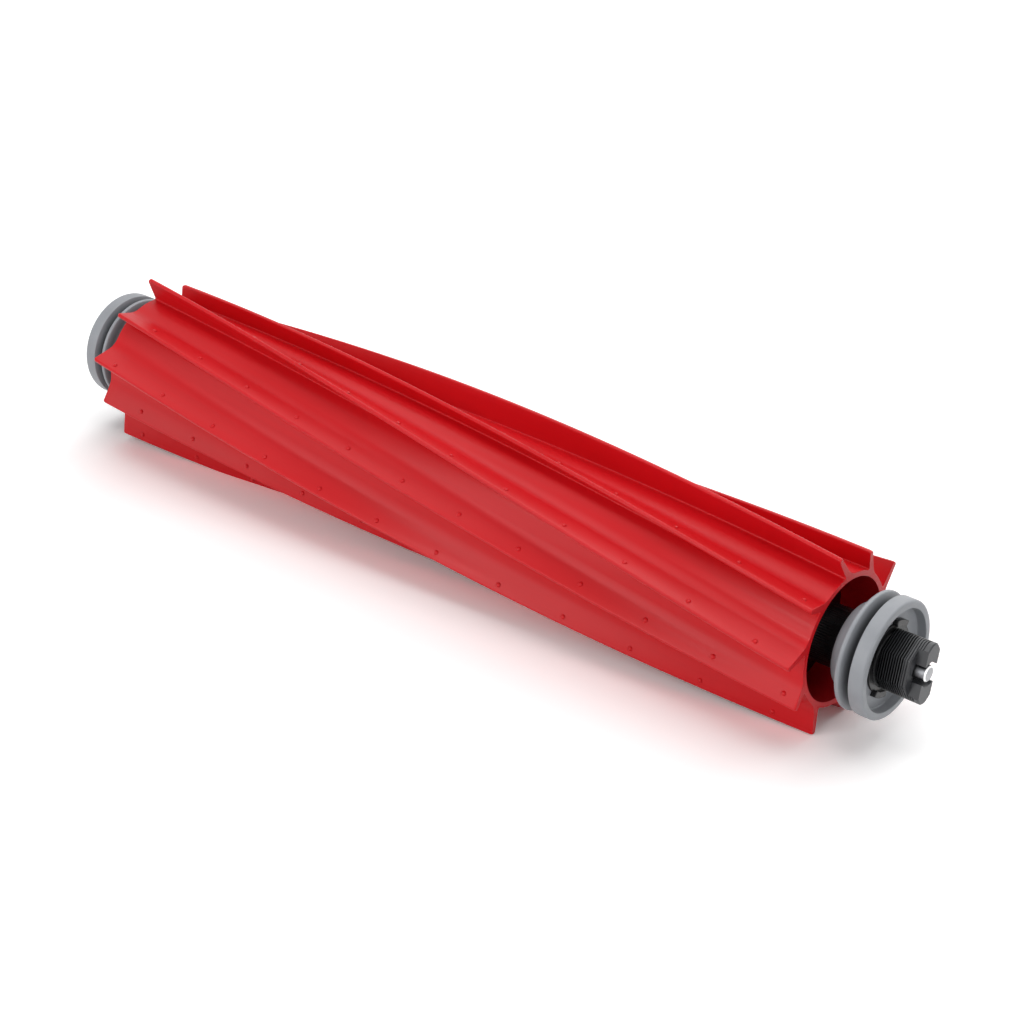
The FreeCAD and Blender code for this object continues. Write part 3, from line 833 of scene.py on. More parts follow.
def run_tree(piece: Object, tree: GeometryNodeTree, values: dict[str, object]) -> None:
    """Runs a geometry tree on an object and keeps the result as a plain mesh.

    Args:
        piece: Object that holds the tree's input geometry.
        tree: Tree to run.
        values: Name of each input to its value.
    """
    modifier = piece.modifiers.new(tree.name, "NODES")
    modifier.node_group = tree
    for item in tree.interface.items_tree:
        if item.item_type == "SOCKET" and item.in_out == "INPUT" and item.name in values:
            modifier[item.identifier] = values[item.name]
    bake_modifiers(piece)
    bpy.data.node_groups.remove(tree)


def twist_tree() -> GeometryNodeTree:
    """Builds the tree that twists a straight extrusion evenly along the axle.

    Returns:
        The tree.
    """
    tree = new_tree("twist_along_axle", [
        ("Start", "NodeSocketFloat"), ("Length", "NodeSocketFloat"),
        ("Twist", "NodeSocketFloat"), ("Material", "NodeSocketMaterial")])
    given = add_node(tree, "NodeGroupInput")
    place = add_node(tree, "GeometryNodeInputPosition")
    parts = add_node(tree, "ShaderNodeSeparateXYZ", None, {0: place.outputs[0]})
    offset = calc(tree, "SUBTRACT", parts.outputs["X"], given.outputs["Start"])
    share = calc(tree, "DIVIDE", offset, given.outputs["Length"])
    turned = add_node(tree, "ShaderNodeVectorRotate", {"rotation_type": "X_AXIS"}, {
        "Vector": place.outputs[0],
        "Angle": calc(tree, "MULTIPLY", share, given.outputs["Twist"])})
    moved = add_node(tree, "GeometryNodeSetPosition", None, {
        "Geometry": given.outputs["Geometry"], "Position": turned.outputs[0]})
    real = add_node(tree, "GeometryNodeRealizeInstances", None, {0: moved.outputs[0]})
    dressed = add_node(tree, "GeometryNodeSetMaterial", None, {
        "Geometry": real.outputs[0], "Material": given.outputs["Material"]})
    add_node(tree, "NodeGroupOutput", None, {0: dressed.outputs[0]})
    return tree


def dome_tree() -> GeometryNodeTree:
    """Builds the tree that stands a low dome on each point, along its facing direction.

    Returns:
        The tree.
    """
    tree = new_tree("raised_domes", [
        ("Radius", "NodeSocketFloat"), ("Height", "NodeSocketFloat"),
        ("Material", "NodeSocketMaterial")])
    given = add_node(tree, "NodeGroupInput")
    ball = add_node(tree, "GeometryNodeMeshUVSphere", None, {
        "Segments": DOME_SEGMENTS, "Rings": DOME_RINGS, "Radius": 1.0})
    place = add_node(tree, "GeometryNodeInputPosition")
    parts = add_node(tree, "ShaderNodeSeparateXYZ", None, {0: place.outputs[0]})
    buried = add_node(tree, "FunctionNodeCompare", {"operation": "LESS_THAN"}, {
        0: parts.outputs["Z"], 1: -DOME_SUNK})
    dome = add_node(tree, "GeometryNodeDeleteGeometry", {"domain": "FACE"}, {
        "Geometry": ball.outputs["Mesh"], "Selection": buried.outputs[0]})
    facing = add_node(tree, "GeometryNodeInputNamedAttribute", {"data_type": "FLOAT_VECTOR"}, {
        "Name": "facing"})
    aligned = add_node(tree, "FunctionNodeAlignRotationToVector", {"axis": "Z"}, {
        "Vector": facing.outputs[0]})
    scale = add_node(tree, "ShaderNodeCombineXYZ", None, {
        "X": given.outputs["Radius"], "Y": given.outputs["Radius"],
        "Z": given.outputs["Height"]})
    copies = add_node(tree, "GeometryNodeInstanceOnPoints", None, {
        "Points": given.outputs["Geometry"], "Instance": dome.outputs[0],
        "Rotation": aligned.outputs[0], "Scale": scale.outputs[0]})
    real = add_node(tree, "GeometryNodeRealizeInstances", None, {0: copies.outputs[0]})
    smooth = add_node(tree, "GeometryNodeSetShadeSmooth", None, {0: real.outputs[0]})
    dressed = add_node(tree, "GeometryNodeSetMaterial", None, {
        "Geometry": smooth.outputs[0], "Material": given.outputs["Material"]})
    add_node(tree, "NodeGroupOutput", None, {0: dressed.outputs[0]})
    return tree


# Sub-assemblies

@dataclass
class FinnedSleeve:
    """Rubber sleeve with tall and short fins by turns, twisted along the axle.

    Lengths are in millimetres and angles in degrees from +Y towards +Z.
    """

    bore_radius: float = 11.5
    wall: float = 1.0
    fin_heights: tuple[float, float] = (4.96, 3.34)
    fin_pairs: int = 5
    root_thickness: float = 1.4
    tip_thickness: float = 0.8
    tip_round: float = 0.34
    end_round: float = 0.6
    end_drop: float = 0.2
    end_steps: int = 6
    lean: float = 9.5
    hollow_fillet: float = 4.0
    full_fillet: float = 0.3
    twist: float = 81.7
    start_angle: float = -53.88
    stations: int = 120
    fillet_steps: int = 8
    tip_steps: int = 5
    wall_steps: int = 4
    bore_steps: int = 96
    flank_shares: tuple[float, float] = (0.33, 0.67)
    cut_merge: float = 1e-7
    dome_radius: float = 0.48
    dome_height: float = 0.3
    dome_pitch: float = 14.25
    dome_from_tip: tuple[float, float] = (1.45, 1.9)
    dome_starts: tuple[float, float] = (5.0, 9.9)

    @property
    def wall_radius(self) -> float:
        """Radius of the round wall between the fins."""
        return self.bore_radius + self.wall

    def flank(self, root: Vector, tip: Vector, side: Vector,
              fillet: float) -> tuple[list[Vector], Vector, Vector]:
        """Works out one flank of a fin, in the section.

        Args:
            root: Foot of the fin's middle line on the wall.
            tip: End of the fin's middle line.
            side: Unit vector away from the middle line.
            fillet: Radius of the root fillet.

        Returns:
            Points of the fillet from the wall outwards, the tip corner, and the
            unit vector up the flank.
        """
        foot = root + side * (self.root_thickness / 2)
        corner = tip + side * (self.tip_thickness / 2)
        rise = (corner - foot).normalized()
        outward = (side - rise * side.dot(rise)).normalized()
        guide = foot + outward * fillet
        half = guide.dot(rise)
        reach = guide.dot(guide) - (self.wall_radius + fillet) ** 2
        travel = math.sqrt(half * half - reach) - half
        centre = guide + rise * travel
        flank_end = foot + rise * travel
        wall_end = centre * (self.wall_radius / (self.wall_radius + fillet))
        first, last = wall_end - centre, flank_end - centre
        sweep = math.atan2(first.x * last.y - first.y * last.x, first.dot(last))
        arc = [centre + Matrix.Rotation(sweep * step / self.fillet_steps, 2) @ first
               for step in range(self.fillet_steps + 1)]
        return arc, corner, rise

    def fin(self, angle: float, height: float) -> tuple[list[Vector], Vector, Vector, Vector]:
        """Works out one fin, in the section.

        Args:
            angle: Angle of its tip.
            height: Height of its tip over the wall.

        Returns:
            Points round the fin from one wall to the next, the tip corner of its
            hollow flank, the unit vector up that flank, and the flank's outward normal.
        """
        tip_turn, root_turn = math.radians(angle), math.radians(angle - self.lean)
        root = Vector((math.cos(root_turn), math.sin(root_turn))) * self.wall_radius
        tip = Vector((math.cos(tip_turn), math.sin(tip_turn))) * (self.wall_radius + height)
        up = (tip - root).normalized()
        across = Vector((-up.y, up.x))
        hollow, hollow_corner, hollow_rise = self.flank(root, tip, -across, self.hollow_fillet)
        full, full_corner, full_rise = self.flank(root, tip, across, self.full_fillet)
        edge = [(*hollow[-1], 0.0), (*hollow_corner, self.tip_round),
                (*full_corner, self.tip_round), (*full[-1], 0.0)]
        crest = [Vector(point) for point in rounded(edge, self.tip_steps, closed=False)]
        middle = [hollow[-1].lerp(crest[1], share) for share in self.flank_shares]
        middle_back = [crest[-2].lerp(full[-1], share) for share in self.flank_shares]
        points = hollow + middle + crest[1:-1] + middle_back + full[::-1]
        normal = Vector((hollow_rise.y, -hollow_rise.x))
        return points, hollow_corner, hollow_rise, normal

    def section(self, drop: float = 0.0) -> list[Vector]:
        """Works out the outer outline of the section at the drive end.

        Args:
            drop: How much lower the fins are than their full height.

        Returns:
            Points of the outline, with as many points whatever the drop is.
        """
        outline: list[Vector] = []
        count = 2 * self.fin_pairs
        fins = [self.fin(self.start_angle + 360 / count * index,
                         self.fin_heights[index % 2] - drop)[0] for index in range(count)]
        for index, points in enumerate(fins):
            outline += points
            end, start = points[-1], fins[(index + 1) % count][0]
            for step in range(1, self.wall_steps):
                spot = end.lerp(start, step / self.wall_steps)
                outline.append(spot.normalized() * self.wall_radius)
        return outline

    def stations_along(self, length: float) -> list[tuple[float, float]]:
        """Lists the places along the sleeve where its section is set.

        Args:
            length: Length of the sleeve.

        Returns:
            Place and drop of the fins, which are rounded off towards both ends.
        """
        ends = []
        for step in range(self.end_steps):
            place = self.end_round * (step / self.end_steps) ** 2
            rest = 1 - place / self.end_round
            ends.append((place, self.end_drop * (1 - math.sqrt(1 - rest * rest))))
        inner = length - 2 * self.end_round
        middle = [(self.end_round + inner * step / self.stations, 0.0)
                  for step in range(self.stations + 1)]
        return ends + middle + [(length - place, drop) for place, drop in reversed(ends)]

    def dome_places(self, start: float, length: float) -> list[tuple[Vector, Vector]]:
        """Works out where the domes stand and which way each faces.

        Args:
            start: Place of the sleeve's drive end along the axle, in metres.
            length: Length of the sleeve in metres.

        Returns:
            Place and facing direction of each dome, in metres.
        """
        places = []
        count = 2 * self.fin_pairs
        for index in range(count):
            along = self.dome_starts[index % 2] * MM
            while along < length - self.dome_radius * MM:
                angle = self.start_angle + 360 / count * index + self.twist * along / length
                _, corner, rise, normal = self.fin(angle, self.fin_heights[index % 2])
                spot = (corner - rise * self.dome_from_tip[index % 2]) * MM
                places.append((Vector((start + along, spot.x, spot.y)),
                               Vector((0.0, normal.x, normal.y))))
                along += self.dome_pitch * MM
        return places

    def build_sleeve(self, finishes: Finishes) -> Object:
        """Builds the sleeve: extrudes its section, twists it, and flattens where it rests.

        Args:
            finishes: Materials of the brush.

        Returns:
            The sleeve.
        """
        low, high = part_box("brush_sleeve")
        length = high.x - low.x
        turns = [2 * math.pi * step / self.bore_steps for step in range(self.bore_steps)]
        bore = [Vector((math.cos(turn), math.sin(turn))) * self.bore_radius for turn in turns]
        places = self.stations_along(length / MM)
        bm = bmesh.new()
        chart = bm.loops.layers.uv.new("UVMap")
        ends = {}
        for label, loop in (("outer", self.section()), ("bore", bore)):
            rings = [[bm.verts.new((low.x + along * MM, point.x * MM, point.y * MM))
                      for point in (self.section(drop) if label == "outer" else loop)]
                     for along, drop in places]
            round_trip = [0.0]
            for here, there in zip(loop, loop[1:] + loop[:1]):
                round_trip.append(round_trip[-1] + (there - here).length)
            for station, (first, second) in enumerate(zip(rings, rings[1:])):
                for index in range(len(loop)):
                    following = (index + 1) % len(loop)
                    face = bm.faces.new((first[index], first[following],
                                         second[following], second[index]))
                    steps = ((index, station), (index + 1, station),
                             (index + 1, station + 1), (index, station + 1))
                    for corner, (around, ahead) in zip(face.loops, steps):
                        corner[chart].uv = (round_trip[around] * MM, places[ahead][0] * MM)
            ends[label] = (rings[0], rings[-1])
        for side in (0, 1):
            edges = []
            for label in ends:
                ring = ends[label][side]
                edges += [bm.edges.get((first, second))
                          for first, second in zip(ring, ring[1:] + ring[:1])]
            filled = bmesh.ops.triangle_fill(bm, use_beauty=True, use_dissolve=False, edges=edges)
            for face in (item for item in filled["geom"] if isinstance(item, BMFace)):
                for corner in face.loops:
                    corner[chart].uv = (corner.vert.co.y, corner.vert.co.z)
        sleeve = finish_mesh(bm, "finned_sleeve", finishes.of(Slot.RED_RUBBER))
        run_tree(sleeve, twist_tree(), {
            "Start": low.x, "Length": length, "Twist": math.radians(self.twist),
            "Material": finishes.of(Slot.RED_RUBBER)})
        self.flatten(sleeve, low.z)
        return sleeve

    def flatten(self, sleeve: Object, floor: float) -> None:
        """Takes off what reaches below the floor, leaving the flat that it rests on.

        Args:
            sleeve: Twisted sleeve.
            floor: Height of the floor in metres.
        """
        bm = bmesh.new()
        bm.from_mesh(sleeve.data)
        cut = bmesh.ops.bisect_plane(
            bm, geom=bm.verts[:] + bm.edges[:] + bm.faces[:], dist=self.cut_merge,
            plane_co=(0, 0, floor), plane_no=(0, 0, -1), clear_outer=True)
        rim = [item for item in cut["geom_cut"]
               if isinstance(item, BMEdge) and item.is_boundary]
        bmesh.ops.triangle_fill(bm, use_beauty=True, use_dissolve=False, edges=rim)
        bmesh.ops.recalc_face_normals(bm, faces=bm.faces)
        bm.to_mesh(sleeve.data)
        bm.free()
        shade(sleeve.data)

    def build_domes(self, finishes: Finishes) -> Object:
        """Builds the row of low domes near each fin's tip.

        Args:
            finishes: Materials of the brush.

        Returns:
            All domes in one object.
        """
        low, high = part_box("brush_sleeve")
        places = [item for item in self.dome_places(low.x, high.x - low.x)
                  if item[0].z > low.z + self.dome_radius * MM]
        mesh = bpy.data.meshes.new("dome_points")
        mesh.from_pydata([place for place, _ in places], [], [])
        facing = mesh.attributes.new("facing", "FLOAT_VECTOR", "POINT")
        for item, (_, direction) in zip(facing.data, places):
            item.vector = direction
        domes = link_object("sleeve_domes", mesh)
        run_tree(domes, dome_tree(), {
            "Radius": self.dome_radius * MM, "Height": self.dome_height * MM,
            "Material": finishes.of(Slot.RED_RUBBER)})
        return domes

    def dress(self, finishes: Finishes) -> None:
        """Builds the sleeve and its domes and puts them in the sleeve's place."""
        settle(self.build_sleeve(finishes), Body.ROLLER, Slot.RED_RUBBER, "brush_sleeve")
        settle(self.build_domes(finishes), Body.ROLLER, Slot.RED_RUBBER)


@dataclass
class GuardRing:
    """Spool-shaped hair guard; lengths in millimetres, measured inwards from the rim."""

    radius: float = 10.85
    land: float = 2.75
    rim_round: float = 0.55
    groove_drop: float = 0.5
    groove_floor: float = 0.65
    groove_rise: float = 0.85
    groove_radius: float = 8.4
    bead: float = 0.75
    bead_round: float = 0.3
    bead_back: float = 0.5
    hub_length: float = 2.35
    hub_waist: float = 9.35
    hub_radius: float = 7.5
    cup_radius: float = 9.42
    cup_depth: float = 1.9
    web: float = 1.6
    web_hole: float = 5.0
    bore: float = 6.5
    key_width: float = 1.7
    key_radius: float = 5.75
    lip_round: float = 0.15
    land_round: float = 0.14
    groove_round: float = 0.3
    waist_round: float = 0.4
    hub_round: float = 0.25
    edge_round: float = 0.1
    cup_round: float = 0.3
    round_steps: int = 5
    segments: int = 160

    def profile(self) -> list[Point]:
        """Works out the rounded long-section of the ring.

        Returns:
            Points of the section, in millimetres.
        """
        floor_start = self.land + self.groove_drop
        floor_end = floor_start + self.groove_floor
        bead_start = floor_end + self.groove_rise
        bead_end = bead_start + self.bead
        waist = bead_end + self.bead_back
        length = waist + self.hub_length
        web_back = self.cup_depth + self.web
        corners = [
            (0, self.cup_radius, self.lip_round), (0, self.radius, self.rim_round),
            (self.land, self.radius, self.land_round),
            (floor_start, self.groove_radius, self.groove_round),
            (floor_end, self.groove_radius, self.groove_round),
            (bead_start, self.radius, self.bead_round), (bead_end, self.radius, self.bead_round),
            (waist, self.hub_waist, self.waist_round), (length, self.hub_radius, self.hub_round),
            (length, self.bore, self.edge_round), (web_back, self.bore, self.edge_round),
            (web_back, self.web_hole, self.edge_round),
            (self.cup_depth, self.web_hole, self.edge_round),
            (self.cup_depth, self.cup_radius, self.cup_round),
        ]
        return rounded(corners, self.round_steps)

    def dress(self, node: str) -> None:
        """Builds one ring in the place of its solid.

        Args:
            node: The ring's solid.
        """
        low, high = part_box(node)
        at_drive_end = node.startswith("drive")
        points = [(low.x + along * MM, radius * MM) if at_drive_end
                  else (high.x - along * MM, radius * MM) for along, radius in self.profile()]
        groove_end = self.land + self.groove_drop + self.groove_floor + self.groove_rise
        # At the drive end the painted shade goes on over the bead and the hub.
        groove = ((low.x / MM + self.land, high.x / MM) if at_drive_end
                  else (high.x / MM - groove_end, high.x / MM - self.land))
        material = GuardPlastic(f"moulded_grey_{node}", "#8C8F94", "#96999E", 0.42,
                                painted_shade_from_mm=groove[0], painted_shade_to_mm=groove[1]).build()
        ring = lathe(f"{node}_moulding", points, material, self.segments)
        half = self.key_width / 2 * MM
        reach = self.key_radius * MM
        notch = box_cutter("key_notch", (low.x - MM, -half, -reach), (high.x + MM, half, reach))
        combine(ring, [notch])
        settle(ring, Body.ROLLER, Slot.GREY_PLASTIC, node)


@dataclass
class BearingBlock:
    """Grooved block with two lugs; lengths in millimetres, angle in degrees."""

    half_diagonal: float = 6.36
    half_width: float = 3.9
    corner_round: float = 1.77
    side_round: float = 0.5
    length: float = 5.45
    lug_length: float = 2.0
    lug_half_thickness: float = 1.95
    slot_half_width: float = 1.65
    lug_chamfer: float = 0.2
    hole_radius: float = 2.3
    bearing_radius: float = 3.0
    front_wall: float = 0.9
    groove_pitch: float = 0.465
    groove_width: float = 0.3
    groove_slope: float = 0.07
    groove_depth: float = 0.42
    fading_depth: float = 0.2
    fading_start: float = 4.2
    first_groove: float = 0.17
    plain_band: float = 0.5
    end_chamfer: float = 0.06
    side_steps: int = 4
    corner_steps: int = 12
    bore_segments: int = 72
    turn: float = -14.0

    def outline(self, inset: float) -> list[Point]:
        """Works out the section's rounded outline.

        Args:
            inset: How far inside the full outline it lies.

        Returns:
            Points of the outline, anticlockwise.
        """
        diagonal = self.half_diagonal - inset * math.sqrt(2)
        width = self.half_width - inset
        corner = self.corner_round - inset
        side = self.side_round - inset
        top = diagonal - corner * math.sqrt(2)
        edge = width - side
        level = diagonal - side * math.sqrt(2) - edge
        few, many = self.side_steps, self.corner_steps
        arcs = [(edge, level, side, 0, 45, few), (0, top, corner, 45, 135, many),
                (-edge, level, side, 135, 180, few), (-edge, -level, side, 180, 225, few),
                (0, -top, corner, 225, 315, many), (edge, -level, side, 315, 360, few)]
        points: list[Point] = []
        for across, along, radius, start, end, steps in arcs:
            for step in range(steps + 1):
                angle = math.radians(start + (end - start) * step / steps)
                points.append((across + radius * math.cos(angle),
                               along + radius * math.sin(angle)))
        return points

    def stations(self) -> list[tuple[float, float]]:
        """Lists the places along the block where its outline changes, with each inset.

        Returns:
            Place and inset of each change, in millimetres.
        """
        total = self.length + self.lug_length
        stops = [(0.0, self.end_chamfer), (self.end_chamfer, 0.0)]
        start = self.first_groove
        while start + self.groove_width < total - self.plain_band:
            depth = self.groove_depth if start < self.fading_start else self.fading_depth
            stops += [(start, 0.0), (start + self.groove_slope, depth),
                      (start + self.groove_width - self.groove_slope, depth),
                      (start + self.groove_width, 0.0)]
            start += self.groove_pitch
        return stops + [(total - self.lug_chamfer, 0.0), (total, self.lug_chamfer)]

    def dress(self) -> None:
        """Builds the block: a grooved prism, then its lugs, slot and bore."""
        low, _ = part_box("bearing_block")
        angle = math.radians(self.turn)
        spin = Matrix.Rotation(angle, 4, "X")
        bm = bmesh.new()
        rings = [[bm.verts.new(spin @ Vector((low.x + along * MM, across * MM, up * MM)))
                  for across, up in self.outline(inset)] for along, inset in self.stations()]
        skin(bm, rings)
        # Acetal is waxy: lighter than the nylon beside it, which sets off the painted shade in the
        # grooves.
        material = GroovedPlastic(
            "moulded_grooved_acetal", "#2B2C2F", "#353639", 0.33,
            first_mm=low.x / MM + self.first_groove, pitch_mm=self.groove_pitch,
            width_mm=self.groove_width, end_mm=low.x / MM + self.fading_start).build()
        block = finish_mesh(bm, "bearing_block_moulding", material)
        reach = 2 * self.half_diagonal * MM
        face = low.x + self.length * MM
        far = low.x + (self.length + self.lug_length + 1) * MM
        side = self.lug_half_thickness * MM
        half = self.slot_half_width * MM
        cutters = [box_cutter("lug_side", (face, side, -reach), (far, reach, reach), angle),
                   box_cutter("lug_side", (face, -reach, -reach), (far, -side, reach), angle),
                   box_cutter("lug_slot", (face, -reach, -half), (far, reach, half), angle)]
        seat = low.x + (self.length - self.front_wall) * MM
        bore = self.bearing_radius * MM
        hole = self.hole_radius * MM
        cutters.append(lathe("bore", [(low.x - MM, 0), (low.x - MM, bore), (seat, bore),
                                      (seat, hole), (far, hole), (far, 0)],
                             material, self.bore_segments))
        combine(block, cutters)
        settle(block, Body.GRIP_BLOCK, Slot.BLOCK_PLASTIC, "bearing_block")


@dataclass
class LockCollar:
    """Disc in the ring's cup; lengths in millimetres, measured outwards from its seat."""

    radius: float = 6.35
    thickness: float = 0.45
    boss_radius: float = 5.0
    boss_height: float = 0.15
    spigot_radius: float = 4.9
    spigot_length: float = 1.55
    hole_radius: float = 1.6
    lug_outer: float = 7.1
    lug_inner: float = 5.95
    lug_height: float = 1.0
    lug_angles: tuple[float, float] = (48.0, 228.0)
    lug_span: float = 35.0
    lug_steps: int = 20
    lug_round: float = 0.14
    lug_round_steps: int = 3
    lug_end_share: float = 0.75
    lug_near_end: tuple[float, float] = (0.3, 0.92)
    face_round: float = 0.06
    step_round: float = 0.05
    rim_round: float = 0.12
    back_round: float = 0.08
    spigot_round: float = 0.1
    round_steps: int = 4
    segments: int = 128

    def lug(self, seat: float, angle: float, material: Material) -> Object:
        """Builds one rim lug as a swept, rounded bar with softened ends.

        Args:
            seat: Place of the collar's seat along the axle, in metres.
            angle: Where the lug begins, in degrees from +Y towards +Z.
            material: Its material.

        Returns:
            The lug.
        """
        middle = Vector((self.lug_height / 2, (self.lug_inner + self.lug_outer) / 2))
        corners = [(0, self.lug_inner, 0.0), (self.lug_height, self.lug_inner, self.lug_round),
                   (self.lug_height, self.lug_outer, self.lug_round), (0, self.lug_outer, 0.0)]
        section = [Vector(point) for point in rounded(corners, self.lug_round_steps)]
        end_degrees = math.degrees(self.lug_round / self.lug_outer)
        way, width = self.lug_near_end
        stations = [(0.0, self.lug_end_share), (end_degrees * way, width), (end_degrees, 1.0)]
        plain = self.lug_span - 2 * end_degrees
        stations += [(end_degrees + plain * step / self.lug_steps, 1.0)
                     for step in range(1, self.lug_steps)]
        stations += [(self.lug_span - along, share) for along, share in stations[2::-1]]
        bm = bmesh.new()
        rings = []
        for along, share in stations:
            turn = math.radians(angle + along)
            spots = [middle + (point - middle) * share for point in section]
            rings.append([bm.verts.new((seat + spot.x * MM, spot.y * MM * math.cos(turn),
                                        spot.y * MM * math.sin(turn))) for spot in spots])
        skin(bm, rings)
        return finish_mesh(bm, "collar_lug", material)

    def dress(self, finishes: Finishes) -> None:
        """Builds the collar with its raised boss and its two rim lugs.

        Args:
            finishes: Materials of the brush.
        """
        low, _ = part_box("lock_collar")
        material = finishes.of(Slot.BLACK_PLASTIC)
        seat = low.x + self.spigot_length * MM
        face = self.thickness + self.boss_height
        corners = [
            (-self.spigot_length, self.hole_radius, 0.0),
            (face, self.hole_radius, self.face_round), (face, self.boss_radius, self.face_round),
            (self.thickness, self.boss_radius, self.step_round),
            (self.thickness, self.radius, self.rim_round), (0, self.radius, self.back_round),
            (0, self.spigot_radius, 0.0),
            (-self.spigot_length, self.spigot_radius, self.spigot_round),
        ]
        points = [(seat + along * MM, radius * MM)
                  for along, radius in rounded(corners, self.round_steps)]
        collar = lathe("lock_collar_moulding", points, material, self.segments)
        combine(collar, [self.lug(seat, angle, material) for angle in self.lug_angles], "UNION")
        settle(collar, Body.ROLLER, Slot.BLACK_PLASTIC, "lock_collar")


@dataclass
class AxlePin:
    """Ground steel pin; lengths in millimetres."""

    radius: float = 1.5
    chamfer: float = 0.26
    inner_round: float = 0.06
    outer_round: float = 0.08
    round_steps: int = 3
    segments: int = 96

    def dress(self) -> None:
        """Builds the pin with softened chamfers at both ends."""
        low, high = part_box("axle_pin")
        start, end = low.x / MM, high.x / MM
        tip = self.radius - self.chamfer
        corners = [(start, 0, 0), (start, tip, self.inner_round),
                   (start + self.chamfer, self.radius, self.inner_round),
                   (end - self.chamfer, self.radius, self.outer_round),
                   (end, tip, self.outer_round), (end, 0, 0)]
        points = [(along * MM, radius * MM)
                  for along, radius in rounded(corners, self.round_steps, closed=False)]
        material = GroundPin("ground_steel_pin", "#A6A7A9", "#9C9DA0", 0.33,
                             mark_strength=0.1).build()
        pin = lathe("axle_pin_ground", points, material, self.segments)
        settle(pin, Body.ROLLER, Slot.PLATED_STEEL, "axle_pin")


@dataclass
class SmoothCopies:
    """Pieces whose solids are right as they are, shown with smooth shading."""

    merge_mm: float = 0.0005
    sharp_angle: float = 30.0

    def dress(self, node: str, solid: Object, body: Body, slot: Slot, finishes: Finishes) -> None:
        """Copies a solid's mesh, joins its loose triangles and shades it smoothly.

        Args:
            node: Name of the solid.
            solid: Its object.
            body: Body that carries it.
            slot: Its material slot.
            finishes: Materials of the brush.
        """
        bm = bmesh.new()
        bm.from_mesh(solid.data)
        bmesh.ops.remove_doubles(bm, verts=bm.verts, dist=self.merge_mm * MM)
        piece = finish_mesh(bm, f"{node}_part", finishes.of(slot), self.sharp_angle)
        settle(piece, body, slot, node)


# Studio

def seen_rays(tree: NodeTree) -> NodeSocket:
    """Gives 1 for rays from the camera, off a glossy surface and through glass, 0 for the rest.

    Args:
        tree: Tree that gets the nodes.

    Returns:
        1 or 0 for the ray that looks.
    """
    rays = add_node(tree, "ShaderNodeLightPath")
    glossy = calc(tree, "MAXIMUM", rays.outputs["Is Camera Ray"], rays.outputs["Is Glossy Ray"])
    return calc(tree, "MAXIMUM", glossy, rays.outputs["Is Transmission Ray"])


@dataclass(frozen=True)
class Softbox:
    """Square lamp turned to the brush; place and size in metres, power in watts."""

    name: str
    place: tuple[float, float, float]
    size: float
    power: float

    def hang(self, target: Vector) -> None:
        """Hangs the lamp and turns it to a target.

        Args:
            target: Point that it faces.
        """
        data = bpy.data.lights.new(self.name, "AREA")
        data.shape = "SQUARE"
        data.size = self.size
        data.energy = self.power
        lamp = bpy.data.objects.new(self.name, data)
        lamp.location = self.place
        lamp.rotation_euler = (target - Vector(self.place)).to_track_quat("-Z", "Y").to_euler()
        bpy.context.scene.collection.objects.link(lamp)


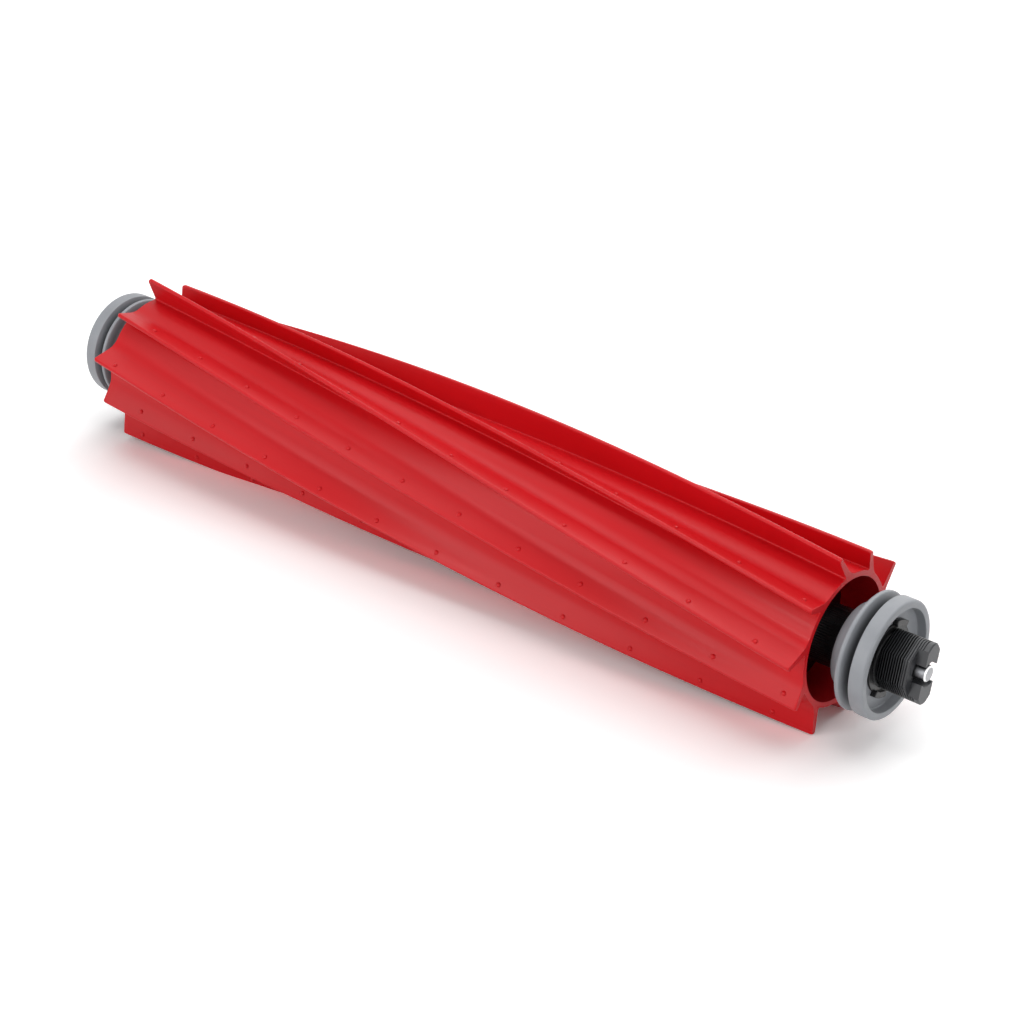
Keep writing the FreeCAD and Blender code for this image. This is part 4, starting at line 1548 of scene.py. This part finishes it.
@dataclass
class Studio:
    """Pale floor, soft lamps and the camera."""

    azimuth: float = 39.458
    elevation: float = 30.338
    distance_mm: float = 457.4
    shift_right_mm: float = -8.92
    shift_up_mm: float = 5.55
    focal_pixels: float = 2413.4
    clip_near: float = 0.01
    clip_far: float = 20.0
    aim_mm: tuple[float, float, float] = (94.28, 0.0, 0.0)
    floor_colour: str = "#E8E8E8"
    floor_seen: float = 1.24
    floor_fade: tuple[float, float] = (0.25, 0.45)
    floor_size: float = 6.0
    middle: tuple[float, float, float] = (0.1, 0.0, 0.0)
    surround: float = 0.1

    def build_camera(self) -> None:
        """Places the camera at the photograph's angle."""
        turn, rise = math.radians(self.azimuth), math.radians(self.elevation)
        back = Vector((math.sin(turn) * math.cos(rise), -math.cos(turn) * math.cos(rise),
                       math.sin(rise)))
        right = (-back).cross(Vector((0, 0, 1))).normalized()
        up = right.cross(-back)
        place = (Vector(self.aim_mm) + back * self.distance_mm - right * self.shift_right_mm
                 - up * self.shift_up_mm) * MM
        data = bpy.data.cameras.new("camera")
        data.sensor_width = SENSOR_WIDTH
        data.lens = self.focal_pixels / IMAGE_WIDTH * SENSOR_WIDTH
        data.clip_start = self.clip_near
        data.clip_end = self.clip_far
        camera = bpy.data.objects.new("camera", data)
        camera.matrix_world = Matrix.Translation(place) @ Matrix(
            (right, up, back)).transposed().to_4x4()
        bpy.context.scene.collection.objects.link(camera)
        bpy.context.scene.camera = camera

    def build_floor(self) -> None:
        """Lays a wide pale floor under the brush, plain white to the eye far from it."""
        low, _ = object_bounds()
        bm = bmesh.new()
        bmesh.ops.create_grid(bm, x_segments=1, y_segments=1, size=self.floor_size / 2)
        bmesh.ops.translate(bm, verts=bm.verts, vec=(self.middle[0], 0, low.z))
        floor = release(bm, "floor")
        material, tree = new_material("pale_studio_floor")
        seen = seen_rays(tree)
        tone = two_tone(tree, seen, self.floor_colour, (*[self.floor_seen] * 3, 1.0))
        near = add_node(tree, "ShaderNodeBsdfDiffuse", None, {"Color": tone})
        far = add_node(tree, "ShaderNodeEmission", None, {"Color": (1.0, 1.0, 1.0, 1.0)})
        place = add_node(tree, "ShaderNodeTexCoord")
        away = add_node(tree, "ShaderNodeVectorMath", {"operation": "DISTANCE"}, {
            0: place.outputs["Object"], 1: (self.aim_mm[0] * MM, 0.0, 0.0)})
        fade = calc(tree, "MULTIPLY",
                    spread(tree, away.outputs["Value"], 0.0, 1.0, *self.floor_fade), seen)
        shader = add_node(tree, "ShaderNodeMixShader", None, {
            "Fac": fade, 1: near.outputs[0], 2: far.outputs[0]})
        add_node(tree, "ShaderNodeOutputMaterial", None, {"Surface": shader.outputs[0]})
        floor.data.materials.append(material)
        floor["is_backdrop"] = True

    def build_lamps(self) -> None:
        """Hangs softboxes above, before and behind the brush, in an even surround."""
        for lamp in (Softbox("overhead_softbox", (0.05, 0.25, 0.9), size=1.1, power=6.8),
                     Softbox("high_key", (0.1, -0.1, 1.3), size=0.3, power=0.9),
                     Softbox("front_fill", (-0.35, -0.95, 0.75), size=1.2, power=1.0),
                     Softbox("left_key", (-0.4, -0.8, 0.6), size=0.25, power=0.9),
                     Softbox("low_front_fill", (-0.2, -1.1, 0.35), size=0.9, power=5.4),
                     Softbox("back_softbox", (0.1, 1.0, 0.6), size=1.0, power=4.4),
                     Softbox("near_end_fill", (1.0, -0.35, 0.45), size=0.6, power=3.0)):
            lamp.hang(Vector(self.middle))
        world = bpy.data.worlds.new("surround")
        world.use_nodes = True
        tree = world.node_tree
        tree.nodes.clear()
        strength = add_node(tree, "ShaderNodeMapRange", None, {
            "Value": seen_rays(tree), "To Min": self.surround, "To Max": 1.0})
        shader = add_node(tree, "ShaderNodeBackground", None, {
            "Color": (1.0, 1.0, 1.0, 1.0), "Strength": strength.outputs["Result"]})
        add_node(tree, "ShaderNodeOutputWorld", None, {"Surface": shader.outputs[0]})
        bpy.context.scene.world = world

    def build(self) -> None:
        """Builds the floor, the lamps and the camera."""
        self.build_floor()
        self.build_lamps()
        self.build_camera()
        bpy.context.scene.view_settings.view_transform = "Standard"


def dress_hidden(nodes: dict[str, Object], finishes: Finishes, slots: dict[str, Slot]) -> None:
    """Gives each solid that stays its real material.

    Args:
        nodes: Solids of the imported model.
        finishes: Materials of the brush.
        slots: Material slot of each solid that stays.
    """
    for node, slot in slots.items():
        mesh = nodes[node].data
        mesh.materials.clear()
        mesh.materials.append(finishes.of(slot))
        LOG.info("%s: solid kept, %s", node, slot.value)


def main() -> None:
    """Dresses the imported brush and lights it."""
    logging.basicConfig(level=logging.INFO, format="%(message)s")
    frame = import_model()
    finishes = Finishes.build()
    nodes = frame["nodes"]

    FinnedSleeve().dress(finishes)
    for node in ("drive_guard_ring", "bearing_guard_ring"):
        GuardRing().dress(node)
    BearingBlock().dress()
    LockCollar().dress(finishes)
    AxlePin().dress()
    for node, slot in (("drive_socket", Slot.BLACK_PLASTIC),
                       ("drive_socket_screw", Slot.PLATED_STEEL),
                       ("drive_end_plug", Slot.BLACK_PLASTIC),
                       ("bearing_end_plug", Slot.BLACK_PLASTIC),
                       ("core_tube", Slot.BLACK_PLASTIC)):
        SmoothCopies().dress(node, nodes[node], Body.ROLLER, slot, finishes)
    dress_hidden(nodes, finishes, {
        "pin_insert": Slot.BRASS, "bearing_spacer": Slot.BRASS, "dust_seal": Slot.FELT,
        "bearing_inner_ring": Slot.BEARING_STEEL, "bearing_outer_ring": Slot.BEARING_STEEL,
        "ball_cage": Slot.BEARING_STEEL, "inboard_shield": Slot.BEARING_STEEL,
        "outboard_shield": Slot.BEARING_STEEL, "bearing_clip": Slot.BEARING_STEEL})
    Studio().build()


if __name__ == "__main__":
    main()
